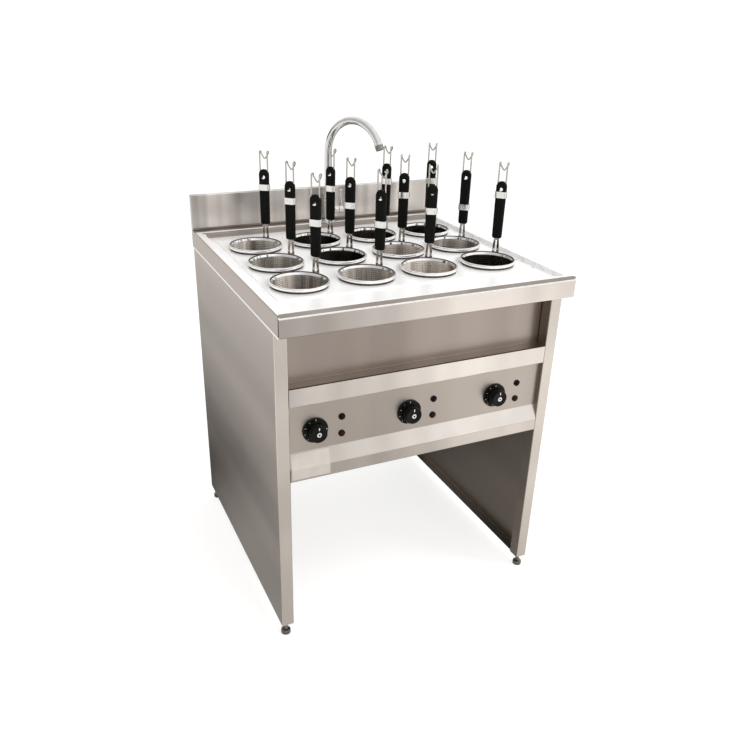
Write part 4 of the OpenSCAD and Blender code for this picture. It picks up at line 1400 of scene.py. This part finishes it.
    def rear(self) -> None:
        """Cut the rear panel, and add its cross-head screws and the cable gland."""
        low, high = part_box("rear_panel")
        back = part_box("left_side_panel")[1].y - self.rear_in
        entry = Vector((self.gland_x, back, low.z + self.gland_z))
        work = Workpiece.block("rear_sheet", (low.x, back - SHEET, low.z), (high.x, back, high.z))
        tool = Workpiece.rod(
            "gland_tool", entry - 2 * SHEET * Y_AXIS, entry + SHEET * Y_AXIS, self.gland_bore + SHEET)
        work.cut(tool).soften(0.0003).smooth().finish(REAR_STEEL)
        work.mount("frame", "brushed_stainless", "rear_panel")
        screw = self.screw()
        heights = (low.z + self.screw_edge, (low.z + high.z) / 2, high.z - self.screw_edge)
        spots = [(x, back, z) for x in (low.x + self.screw_edge, high.x - self.screw_edge) for z in heights]
        for number, spot in enumerate(spots, 1):
            copy = screw.copy(f"rear_screw_{number}", Matrix.Translation(spot))
            copy.mount("frame", "satin_stainless")
        screw.discard()
        self.gland(entry)

    def screw(self) -> Workpiece:
        """Turn a pan-head screw with a cross recess, pointing backwards at the origin.

        Returns:
            The screw.
        """
        dome = 0.8 * self.screw_h
        profile = [(0.0, 0.0), (self.screw_r, 0.0)]
        profile += arc((self.screw_r - dome, self.screw_h - dome), dome, 0.0, 90.0, 4)
        profile.append((0.0, self.screw_h))
        work = Workpiece.turned("rear_screw", profile, ORIGIN, Y_AXIS, 24)
        reach = 0.55 * self.screw_r
        slot = 0.14 * self.screw_r
        for wide, tall in ((reach, slot), (slot, reach)):
            work.cut(Workpiece.block(
                "cross_tool", (-wide, 0.5 * self.screw_h, -tall), (wide, 2 * self.screw_h, tall)))
        return work.smooth().finish(FOOT_STEEL)

    def gland(self, at: Vector) -> None:
        """Turn the cable gland: hexagon base, ribbed cap and an open bore.

        Args:
            at: The gland's middle on the rear panel's face.
        """
        half = self.gland_l / 2
        shoulder = 0.75 * self.gland_l
        dome = self.gland_l - shoulder
        cap_r = 0.8 * self.gland_r
        base = Workpiece.rod("cable_gland", at, at + Y_AXIS * half, self.gland_r, 6).soften(0.0008)
        profile = [(self.gland_bore, half), (cap_r, half), (cap_r, shoulder)]
        profile += arc((cap_r - dome, shoulder), dome, 0.0, 90.0, 5)
        profile += [(self.gland_bore, self.gland_l), (self.gland_bore, half)]
        cap = Workpiece.turned("gland_cap", profile, at, Y_AXIS, 40)
        bore = Workpiece.rod(
            "gland_bore", at - Y_AXIS * SHEET, at + Y_AXIS * self.gland_l, self.gland_bore, 32)
        base.cut(bore).join(cap).smooth().finish(GLAND_PLASTIC).mount("frame", "black_knob")


@dataclass
class Controls:
    """Three dial knobs, each with an upper and a lower pilot lamp."""

    gap: float = 0.0008
    skirt_r: float = 0.029
    skirt_t: float = 0.004
    boss_r: float = 0.021
    face_r: float = 0.0195
    boss_h: float = 0.021
    cap_r: float = 0.0055
    cap_h: float = 0.001
    cap_edge: float = 0.0006
    cap_sunk: float = 0.0015
    knob_edge: float = 0.0012
    flutes: int = 18
    flute_in: float = 0.955
    flute_edge: float = 0.0001
    marks: int = 9
    mark_arc: float = 270.0
    mark_h: float = 0.0046
    mark_out: float = 0.0004
    ink_t: float = 0.00012
    pointer_l: float = 0.006
    pointer_w: float = 0.0022
    pointer_in: float = 0.0026
    lamp_x: float = 0.062
    lamp_pitch: float = 0.041
    bezel_r: float = 0.00775
    bezel_h: float = 0.0025
    bezel_edge: float = 0.0009
    bezel_seat: float = 0.0008
    bezel_slope: float = 0.0005
    lens_r: float = 0.0056
    lens_h: float = 0.0022
    lens_sunk: float = 0.0006
    lens_gap: float = 0.0001
    lens_wall: float = 0.001
    lamp_r: float = 0.0055
    lamp_l: float = 0.026

    def build(self) -> None:
        """Build the knobs at their nodes and the lamps beside them."""
        for name, at in self.places():
            self.knob(name, at)
            self.numbers(name, at)
            self.cap(name, at)
            self.lamps(name, at)
        self.bezels()

    def places(self) -> Iterator[tuple[str, Vector]]:
        """Each knob's place and axis, left to right.

        Returns:
            Pairs of a name and the point where the axis meets the panel.
        """
        face_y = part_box("control_panel")[0].y + Casing.panel_in
        for name in ("left", "middle", "right"):
            low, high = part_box(f"knob_{name}")
            yield name, Vector(((low.x + high.x) / 2, face_y, (low.z + high.z) / 2))

    def lamp_places(self, at: Vector) -> tuple[Vector, Vector]:
        """The lower and the upper lamp beside a knob's axis."""
        return tuple(at + Vector((self.lamp_x, 0.0, side * self.lamp_pitch)) for side in (-0.5, 0.5))

    def knob(self, name: str, at: Vector) -> None:
        """Turn the dial skirt and boss in one, and press flutes into the boss.

        Args:
            name: The knob's place.
            at: The knob's axis on the panel.
        """
        top = self.gap + self.skirt_t
        end = top + self.boss_h
        edge = self.knob_edge
        profile = [
            (0.0, self.gap), (self.skirt_r, self.gap), (self.skirt_r, top - edge), (self.skirt_r - edge, top),
            (self.boss_r + edge, top), (self.boss_r, top + edge), (self.face_r, end - 2 * edge)]
        profile += arc((self.face_r - 2 * edge, end - 2 * edge), 2 * edge, 0.0, 90.0, 4)
        profile += [(2.0 * self.cap_r, end - edge), (0.0, end - edge)]
        work = Workpiece.turned(f"dial_knob_{name}", profile, at, -Y_AXIS, 4 * self.flutes)
        step = math.tau / self.flutes
        side_y = at.y - (top + end) / 2
        work.pick(Part.FACE, lambda middle, normal: abs(middle.y - side_y) < self.boss_h / 4
                  and math.atan2(middle.z - at.z, middle.x - at.x) % step < step / 4)
        work.inset(self.flute_edge).resize((self.flute_in, 1.0, self.flute_in), at)
        work.smooth(30.0).finish(KNOB_PLASTIC).mount(f"knob_{name}", "black_knob", f"knob_{name}")

    def numbers(self, name: str, at: Vector) -> None:
        """Print plain numbers round the dial skirt and a pointer on the boss.

        Args:
            name: The knob's place.
            at: The knob's axis on the panel.
        """
        ring = (self.skirt_r + self.boss_r) / 2 + self.mark_out
        skirt_y = at.y - self.gap - self.skirt_t - self.ink_t
        face_y = at.y - self.gap - self.skirt_t - self.boss_h
        inks = []
        for number in range(self.marks):
            turn = math.radians(self.mark_arc * number / (self.marks - 1))
            leave_edit_mode()
            bpy.ops.object.text_add()
            text = bpy.context.object
            text.data.body = str(number)
            text.data.size = self.mark_h
            text.data.align_x = "CENTER"
            text.data.align_y = "CENTER"
            text.data.extrude = self.ink_t / 2
            bpy.ops.object.convert(target="MESH")
            ink = Workpiece(f"dial_number_{number}")
            stand = Matrix.Translation((0.0, 0.0, ring)) @ Matrix.Rotation(math.pi / 2, 4, "X")
            spot = Matrix.Translation((at.x, skirt_y, at.z)) @ Matrix.Rotation(-turn, 4, "Y")
            inks.append(ink.place(spot @ stand))
        tip = Vector((at.x, face_y, at.z + self.face_r - self.pointer_in))
        reach = Vector((self.pointer_w / 2, self.ink_t, 0.0))
        pointer = Workpiece.block(f"dial_print_{name}", tip - reach - Z_AXIS * self.pointer_l, tip + reach)
        pointer.soften(self.ink_t / 2, 1).join(*inks).finish(DIAL_INK).mount(f"knob_{name}", "pale_plastic")

    def cap(self, name: str, at: Vector) -> None:
        """Turn the bright centre cap with a dimple.

        Args:
            name: The knob's place.
            at: The knob's axis on the panel.
        """
        face = self.gap + self.skirt_t + self.boss_h
        start = face - self.cap_sunk
        end = face + self.cap_h
        edge = self.cap_edge
        eye = 0.4 * self.cap_r
        profile = [
            (0.0, start), (self.cap_r, start), (self.cap_r, end - edge), (self.cap_r - edge, end),
            (eye + edge / 2, end), (eye, end - edge), (0.0, end - 4 * edge / 3)]
        work = Workpiece.turned(f"knob_cap_{name}", profile, at, -Y_AXIS, 40).smooth(30.0).finish(BAND_STEEL)
        work.paint(KNOB_PLASTIC, lambda middle, normal: normal.y < -0.5 and (middle - at).xz.length < eye)
        work.mount(f"knob_{name}", "polished_stainless")

    def lamps(self, name: str, at: Vector) -> None:
        """Turn the two domed lenses beside a knob.

        Args:
            name: The knob's place.
            at: The knob's axis on the panel.
        """
        base = self.bezel_h - self.lens_sunk
        foot = base - self.lens_wall
        profile = [(0.0, foot), (self.lens_r, foot), (self.lens_r, base)]
        profile += [(self.lens_r * math.cos(a), base + self.lens_h * math.sin(a))
                    for a in (math.radians(15.0 * i) for i in range(1, 6))]
        profile.append((0.0, base + self.lens_h))
        for place, lens, middle in zip(("lower", "upper"), (RED_LENS, DARK_LENS), self.lamp_places(at)):
            work = Workpiece.turned(f"lamp_lens_{name}_{place}", profile, middle, -Y_AXIS, 40)
            work.smooth(50.0).finish(lens).mount("frame", "lamp_lens")

    def bezels(self) -> None:
        """Turn the lamps' black bezels and their bodies behind the panel, as one group."""
        edge = self.bezel_edge
        seat = self.bezel_h - self.bezel_seat
        inner = self.lens_r + self.lens_gap
        profile = [(inner, seat), (inner + self.bezel_slope, self.bezel_h)]
        profile += arc((self.bezel_r - edge, self.bezel_h - edge), edge, 90.0, 0.0, 4)
        profile += [(self.bezel_r, 0.0), (self.lamp_r, 0.0), (self.lamp_r, -self.lamp_l), (0.0, -self.lamp_l)]
        profile += [(0.0, seat), (inner, seat)]
        spots = [spot for _, at in self.places() for spot in self.lamp_places(at)]
        rings = [Workpiece.turned("lamp_bezels", profile, spot, -Y_AXIS, 40) for spot in spots]
        rings[0].join(*rings[1:]).smooth().finish(KNOB_PLASTIC).mount("frame", "black_knob", "pilot_lamps")


@dataclass
class Tap:
    """Chrome swivel tap with a side valve and lever."""

    base_r: float = 0.019
    base_t: float = 0.006
    body_r: float = 0.012
    body_h: float = 0.066
    pin_r: float = 0.008
    spout_r: float = 0.0095
    riser_h: float = 0.187
    bend_r: float = 0.086
    sweep: float = 155.0
    turn: float = 28.0
    nozzle_r: float = 0.011
    nozzle_l: float = 0.016
    valve_z: float = 0.033
    valve_r: float = 0.010
    valve_l: float = 0.030
    cap_l: float = 0.014
    lever_r: float = 0.0025
    lever_h: float = 0.054
    shank_r: float = 0.01045
    shank_top_r: float = 0.0115
    shank_top_l: float = 0.020
    seat_gap: float = 0.0003
    edge: float = 0.0012
    bead: float = 0.0006
    bead_h: float = 0.008
    step: float = 0.001
    valve_in: float = 0.004
    valve_neck: float = 0.017
    collar_h: float = 0.007
    collar_wall: float = 0.004
    pin_l: float = 0.018
    pin_lap: float = 0.002
    screen_in: float = 0.004
    lever_root: float = 0.006
    thread: float = 0.0018
    thread_in: float = 0.0007
    nut_r: float = 0.0145
    nut_h: float = 0.006

    def build(self) -> None:
        """Build body, spout and lever."""
        low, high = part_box("tap_body")
        rim_z = high.z - self.body_h
        at = Vector((low.x + self.base_r, (low.y + high.y) / 2, rim_z))
        self.body(at, low.z)
        self.spout(at)
        self.lever(at)

    def body(self, at: Vector, foot_z: float) -> None:
        """Turn the flange, pillar, threaded shank and side valve.

        Args:
            at: The tap's axis on the rim.
            foot_z: The height of the shank's end.
        """
        edge = self.edge
        deep = at.z - foot_z
        shank = [(0.0, -deep), (self.shank_r - edge, -deep)]
        for i in range(int((deep - self.shank_top_l - self.thread) / self.thread)):
            z = edge - deep + i * self.thread
            shank += [(self.shank_r, z), (self.shank_r - self.thread_in, z + self.thread / 2)]
        profile = shank + [
            (self.shank_r, -self.shank_top_l), (self.shank_top_r, -self.shank_top_l), (self.shank_top_r, 0.0),
            (self.base_r, 0.0), (self.base_r, self.base_t - 2 * edge)]
        profile += arc((self.base_r - 2 * edge, self.base_t - 2 * edge), 2 * edge, 0.0, 90.0, 4)
        profile += arc((self.body_r + 3 * edge, self.base_t + 3 * edge), 3 * edge, 270.0, 180.0, 5)
        bead_r = self.body_r + self.bead
        profile += [
            (self.body_r, self.body_h - self.bead_h - self.step), (bead_r, self.body_h - self.bead_h),
            (bead_r, self.body_h - edge),
            (self.body_r - edge, self.body_h), (self.pin_r, self.body_h), (0.0, self.body_h)]
        pillar = Workpiece.turned("tap_pillar", profile, at, steps=56)
        neck_r = self.valve_r - self.step
        barrel = [
            (0.0, self.valve_in), (neck_r, self.valve_in), (neck_r, self.valve_neck),
            (self.valve_r, self.valve_neck + self.step), (self.valve_r, self.valve_l - edge),
            (self.valve_r - edge, self.valve_l), (0.0, self.valve_l)]
        valve = Workpiece.turned("tap_valve", barrel, at + Z_AXIS * self.valve_z, X_AXIS, 48)
        under = at - Z_AXIS * SHEET
        nut = Workpiece.rod("tap_nut", under - Z_AXIS * self.nut_h, under, self.nut_r, 6).soften(edge)
        pillar.join(valve, nut).smooth(30.0).finish(CHROME).mount("frame", "chrome", "tap_body")

    def spout(self, at: Vector) -> None:
        """Bend the gooseneck from one tube, with a collar at its root and an aerator at its mouth.

        Args:
            at: The tap's axis on the rim.
        """
        seat = self.body_h + self.seat_gap
        sweep = math.radians(self.sweep)
        tube = Workpiece.disc("tap_gooseneck", Vector((0.0, 0.0, seat)), self.spout_r, 40)
        tube.whole().extrude((0.0, 0.0, self.riser_h - seat))
        tube.spin(Vector((self.bend_r, 0.0, self.riser_h)), Y_AXIS, -sweep, 40)
        tube.close()
        bead_r = self.body_r + self.bead
        top = seat + self.collar_h
        collar = [
            (0.0, seat), (self.body_r, seat), (bead_r, seat + self.step), (bead_r, seat + self.collar_wall),
            (self.body_r - self.step, top - self.step), (self.spout_r, top), (0.0, top)]
        root = Workpiece.turned("spout_collar", collar, ORIGIN, steps=48)
        pin = Workpiece.rod(
            "spout_pin", Z_AXIS * (self.body_h - self.pin_l), Z_AXIS * (seat + self.pin_lap), self.pin_r)
        end = Vector((
            self.bend_r * (1.0 - math.cos(sweep)), 0.0, self.riser_h + self.bend_r * math.sin(sweep)))
        way = Vector((math.sin(sweep), 0.0, math.cos(sweep)))
        wall = 0.0016
        edge = 0.0008
        ring = 0.0045
        rib = 0.0011
        mouth = [
            (0.0, -self.step), (self.spout_r, -self.step), (self.nozzle_r - edge, 0.0), (self.nozzle_r, edge)]
        mouth += [(self.nozzle_r, ring - edge), (self.nozzle_r - edge, ring)]
        groove_r = self.nozzle_r - edge
        bore_r = groove_r - wall
        for i in range(int((self.nozzle_l - ring - edge) / (2 * rib))):
            z = ring + 2 * rib * i
            mouth += [(groove_r, z + rib / 3), (groove_r + edge / 2, z + rib), (groove_r, z + 5 * rib / 3)]
        screen = self.nozzle_l - self.screen_in
        mouth += [(groove_r, self.nozzle_l), (bore_r, self.nozzle_l), (bore_r, screen), (0.0, screen)]
        nozzle = Workpiece.turned("spout_aerator", mouth, end, way, 48).finish(CHROME)
        nozzle.paint(AERATOR_STEEL, lambda middle, normal: (middle - end).dot(way) > ring - edge / 2)
        tube.join(root, pin).finish(CHROME).join(nozzle)
        tube.place(Matrix.Translation(at) @ Matrix.Rotation(math.radians(self.turn - 90.0), 4, "Z"))
        tube.smooth(40.0).mount("spout", "chrome", "tap_spout")

    def lever(self, at: Vector) -> None:
        """Turn the valve's cap, and draw a tapered lever up from it.

        Args:
            at: The tap's axis on the rim.
        """
        edge = self.edge
        start = self.valve_l + self.seat_gap
        end = start + self.cap_l
        axis = at + Z_AXIS * self.valve_z
        profile = [
            (0.0, start), (self.valve_r - edge, start), (self.valve_r, start + edge),
            (self.valve_r, end - 3 * edge)]
        profile += arc((self.valve_r - 3 * edge, end - 3 * edge), 3 * edge, 0.0, 90.0, 5) + [(0.0, end)]
        cap = Workpiece.turned("tap_lever_handle", profile, axis, X_AXIS, 48)
        root_r = 1.4 * self.lever_r
        ball = 1.5 * self.lever_r
        rod = [
            (0.0, 0.0), (root_r, self.lever_root), (root_r, 2 * self.lever_root),
            (0.9 * self.lever_r, self.lever_h - 2.5 * ball)]
        rod += arc((0.0, self.lever_h - 1.2 * ball), ball, -60.0, 90.0, 8)
        arm = Workpiece.turned("tap_lever_arm", rod, axis + X_AXIS * (start + self.cap_l / 2), Z_AXIS, 32)
        cap.join(arm).smooth(40.0).finish(CHROME).mount("tap_lever", "chrome", "tap_lever")


@dataclass
class Feet:
    """Four levelling feet with threaded stems."""

    pad_r: float = 0.0115
    pad_h: float = 0.012
    stem_r: float = 0.005
    thread: float = 0.00175
    thread_in: float = 0.0006
    thread_gap: float = 0.001
    edge: float = 0.0015

    def build(self) -> None:
        """Turn one foot, and put a copy under each corner."""
        low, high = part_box("foot_front_left")
        edge = self.edge
        profile = [
            (0.0, 0.0), (self.pad_r - edge, 0.0), (self.pad_r, edge), (self.pad_r, self.pad_h - 2 * edge)]
        profile += arc((self.pad_r - 2 * edge, self.pad_h - 2 * edge), 2 * edge, 0.0, 90.0, 4)
        root_r = self.stem_r - self.thread_in
        for i in range(int((high.z - self.pad_h - 2 * self.thread_gap) / self.thread)):
            z = self.pad_h + self.thread_gap + i * self.thread
            profile += [(root_r, z), (self.stem_r, z + self.thread / 2)]
        profile += [(root_r, high.z), (0.0, high.z)]
        foot = Workpiece.turned("levelling_foot", profile, ORIGIN, steps=28).smooth(30.0).finish(FOOT_STEEL)
        for place in ("front_left", "front_right", "rear_left", "rear_right"):
            low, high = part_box(f"foot_{place}")
            middle = Matrix.Translation(((low.x + high.x) / 2, (low.y + high.y) / 2, 0.0))
            foot.copy(f"levelling_foot_{place}", middle).mount(f"foot_{place}", "foot_steel", f"foot_{place}")
        foot.discard()


class InnerWorks:
    """The tank, heaters, box and drain, which keep their CAD shape."""

    finishes: dict[str, Finish] = {
        "water_tank": TANK_STEEL,
        "control_box": REAR_STEEL,
        "thermostats": CERAMIC_PLASTIC,
        "heating_elements": HEATER_STEEL,
        "drain_valve": BRASS,
        "drain_lever": LEVER_PLASTIC,
    }

    def build(self) -> None:
        """Give each of these CAD nodes its finish."""
        for node, finish in self.finishes.items():
            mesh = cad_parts[node].data
            mesh.materials.clear()
            mesh.materials.append(material_of(finish))
            LOG.info("%s keeps its CAD shape", node)


@dataclass
class Studio:
    """White floor, soft light from above and from the right, and the photograph's camera."""

    azimuth: float = -24.9532
    elevation: float = 25.9781
    roll: float = 1.3505
    distance: float = 2.0112
    target: tuple[float, float, float] = (-0.0089, 0.0055, 0.4525)
    focal_px: float = 760.24
    principal_px: Pair = (360.73, 390.42)
    image_px: float = 730.0
    sensor_mm: float = 36.0
    floor_w: float = 120.0
    floor_lift: float = 0.72
    floor_greys: tuple[Pair, ...] = (
        (0.0, 0.6), (0.2375, 0.7), (0.3, 0.46), (0.37, 0.14), (0.44, 0.3), (0.5, 0.3), (0.58, 0.22),
        (0.66, 0.52), (0.75, 0.55))

    def build(self) -> None:
        """Set the view transform, camera, floor, lamps and world."""
        bpy.context.scene.view_settings.view_transform = "Standard"
        self.camera()
        self.floor()
        self.world()
        self.lamp("top_softbox", (-0.4, -0.7, 2.9), (0.0, 0.0, 0.8), 2.4, 10.0)
        self.lamp("right_softbox", (2.3, -1.9, 1.0), (0.2, -0.2, 0.6), 1.5, 8.0)
        self.lamp("key_softbox", (1.7, -1.3, 2.3), (0.0, 0.0, 0.8), 0.7, 22.0)
        self.lamp("front_softbox", (0.5, -2.4, 2.1), (0.0, 0.0, 0.8), 1.3, 18.0)

    def camera(self) -> None:
        """Put the camera where the photograph was taken from."""
        across, up = math.radians(self.azimuth), math.radians(self.elevation)
        back = Vector((math.sin(across) * math.cos(up), -math.cos(across) * math.cos(up), math.sin(up)))
        right = (-back).cross(Z_AXIS).normalized()
        top = right.cross(-back)
        tilt = math.radians(self.roll)
        side = right * math.cos(tilt) + top * math.sin(tilt)
        head = top * math.cos(tilt) - right * math.sin(tilt)
        data = bpy.data.cameras.new("photo_camera")
        data.sensor_width = self.sensor_mm
        data.lens = self.focal_px * self.sensor_mm / self.image_px
        data.shift_x = (self.image_px / 2 - self.principal_px[0]) / self.image_px
        data.shift_y = (self.principal_px[1] - self.image_px / 2) / self.image_px
        camera = bpy.data.objects.new("photo_camera", data)
        spot = Vector(self.target) + back * self.distance
        camera.matrix_world = Matrix.Translation(spot) @ Matrix((side, head, back)).transposed().to_4x4()
        bpy.context.scene.collection.objects.link(camera)
        bpy.context.scene.camera = camera

    def floor(self) -> None:
        """Lay a wide pale floor: white to the eye, and mirrored in metal as dark and bright stripes."""
        leave_edit_mode()
        bpy.ops.mesh.primitive_plane_add(size=self.floor_w)
        plane = bpy.context.object
        plane.name = "studio_floor"
        made = bpy.data.materials.new("matt_white_floor")
        tree = blank_tree(made)
        place = add_node(tree, "TexCoord", {}).outputs["Object"]
        across = add_node(tree, "SeparateXYZ", {}, {"Vector": place})
        path = add_node(tree, "LightPath", {})
        mirrored = self.mirrored(tree, path)
        share = ranged(tree, across, (-2.0, 2.0, 0.0, 1.0))
        bright = add_node(tree, "ValToRGB", {"stops": self.floor_greys}, {"Fac": share})
        left = ranged(tree, across, (-0.72, -0.5, 0.0, 0.9), soft=True)
        behind = ranged(tree, across.outputs["Y"], (0.05, 0.6, 0.0, 1.0), soft=True)
        shade = product(tree, mirrored, product(tree, left, behind))
        seen = ranged(tree, path.outputs["Is Camera Ray"], (0.0, 1.0, 0.0, self.floor_lift))
        strength = add_node(tree, "Math", {"operation": "MULTIPLY_ADD"}, {0: mirrored, 1: bright, 2: seen})
        matt = add_node(tree, "BsdfDiffuse", {"Color": linear("#b4b2af")})
        glow = add_node(tree, "Emission", {"Color": linear("#ffffff")}, {"Strength": strength})
        both = add_node(tree, "AddShader", {}, {0: matt, 1: glow})
        night = add_node(tree, "Emission", {"Color": linear("#000000"), "Strength": 0.0})
        mixed = add_node(tree, "MixShader", {}, {"Fac": shade, 1: both, 2: night})
        add_node(tree, "OutputMaterial", {}, {"Surface": mixed})
        plane.data.materials.append(made)

    def mirrored(self, tree: Tree, path: bpy.types.Node) -> bpy.types.Node:
        """Tell rays that met metal or glass from the rest.

        Args:
            tree: The node tree.
            path: Its light path node.

        Returns:
            The node that gives 1 for such rays.
        """
        return add_node(
            tree, "Math", {"operation": "MAXIMUM"},
            {0: path.outputs["Is Glossy Ray"], 1: path.outputs["Is Transmission Ray"]})

    def world(self) -> None:
        """Light from all round: white to the eye, darker on the left, and mirrored dark low behind."""
        made = bpy.data.worlds.new("white_studio")
        tree = blank_tree(made)
        way = add_node(tree, "TexCoord", {}).outputs["Generated"]
        parts = add_node(tree, "SeparateXYZ", {}, {"Vector": way})
        path = add_node(tree, "LightPath", {})
        mirrored = self.mirrored(tree, path)
        side = ranged(tree, parts, (-0.9, 0.1, 0.55, 1.04), soft=True)
        plain = ranged(tree, mirrored, (0.0, 1.0, 0.9, 1.0))
        behind = ranged(tree, parts.outputs["Y"], (0.3, 0.7, 0.0, 0.85), soft=True)
        low = ranged(tree, parts.outputs["Z"], (0.08, 0.26, 1.0, 0.0), soft=True)
        shade = product(tree, product(tree, behind, low), mirrored)
        clear = ranged(tree, shade, (0.0, 1.0, 1.0, 0.0))
        lit = product(tree, product(tree, side, clear), plain)
        strength = add_node(
            tree, "Math", {"operation": "MAXIMUM"}, {0: lit, 1: path.outputs["Is Camera Ray"]})
        light = add_node(tree, "Background", {"Color": linear("#ffffff")}, {"Strength": strength})
        add_node(tree, "OutputWorld", {}, {"Surface": light})
        bpy.context.scene.world = made

    def lamp(self, name: str, at: Sequence[float], aim: Sequence[float], wide: float, watts: float) -> None:
        """Hang a square softbox.

        Args:
            name: The lamp's name.
            at: Its place.
            aim: The point that it faces.
            wide: Its side, in metres.
            watts: Its power.
        """
        data = bpy.data.lights.new(name, "AREA")
        data.size = wide
        data.energy = watts
        lamp = bpy.data.objects.new(name, data)
        away = Vector(at) - Vector(aim)
        lamp.matrix_world = Matrix.Translation(at) @ away.to_track_quat("Z", "Y").to_matrix().to_4x4()
        lamp.visible_camera = False
        lamp.visible_glossy = False
        bpy.context.scene.collection.objects.link(lamp)


def main() -> None:
    """Build the cooker's pieces in order."""
    logging.basicConfig(level=logging.INFO, format="%(name)s: %(message)s")
    Studio().build()
    strainers = Strainers()
    Worktop().build([axis for _, axis in strainers.places()])
    strainers.build()
    Casing().build()
    Controls().build()
    Tap().build()
    Feet().build()
    InnerWorks().build()
    leave_edit_mode()


if __name__ == "__main__":
    main()
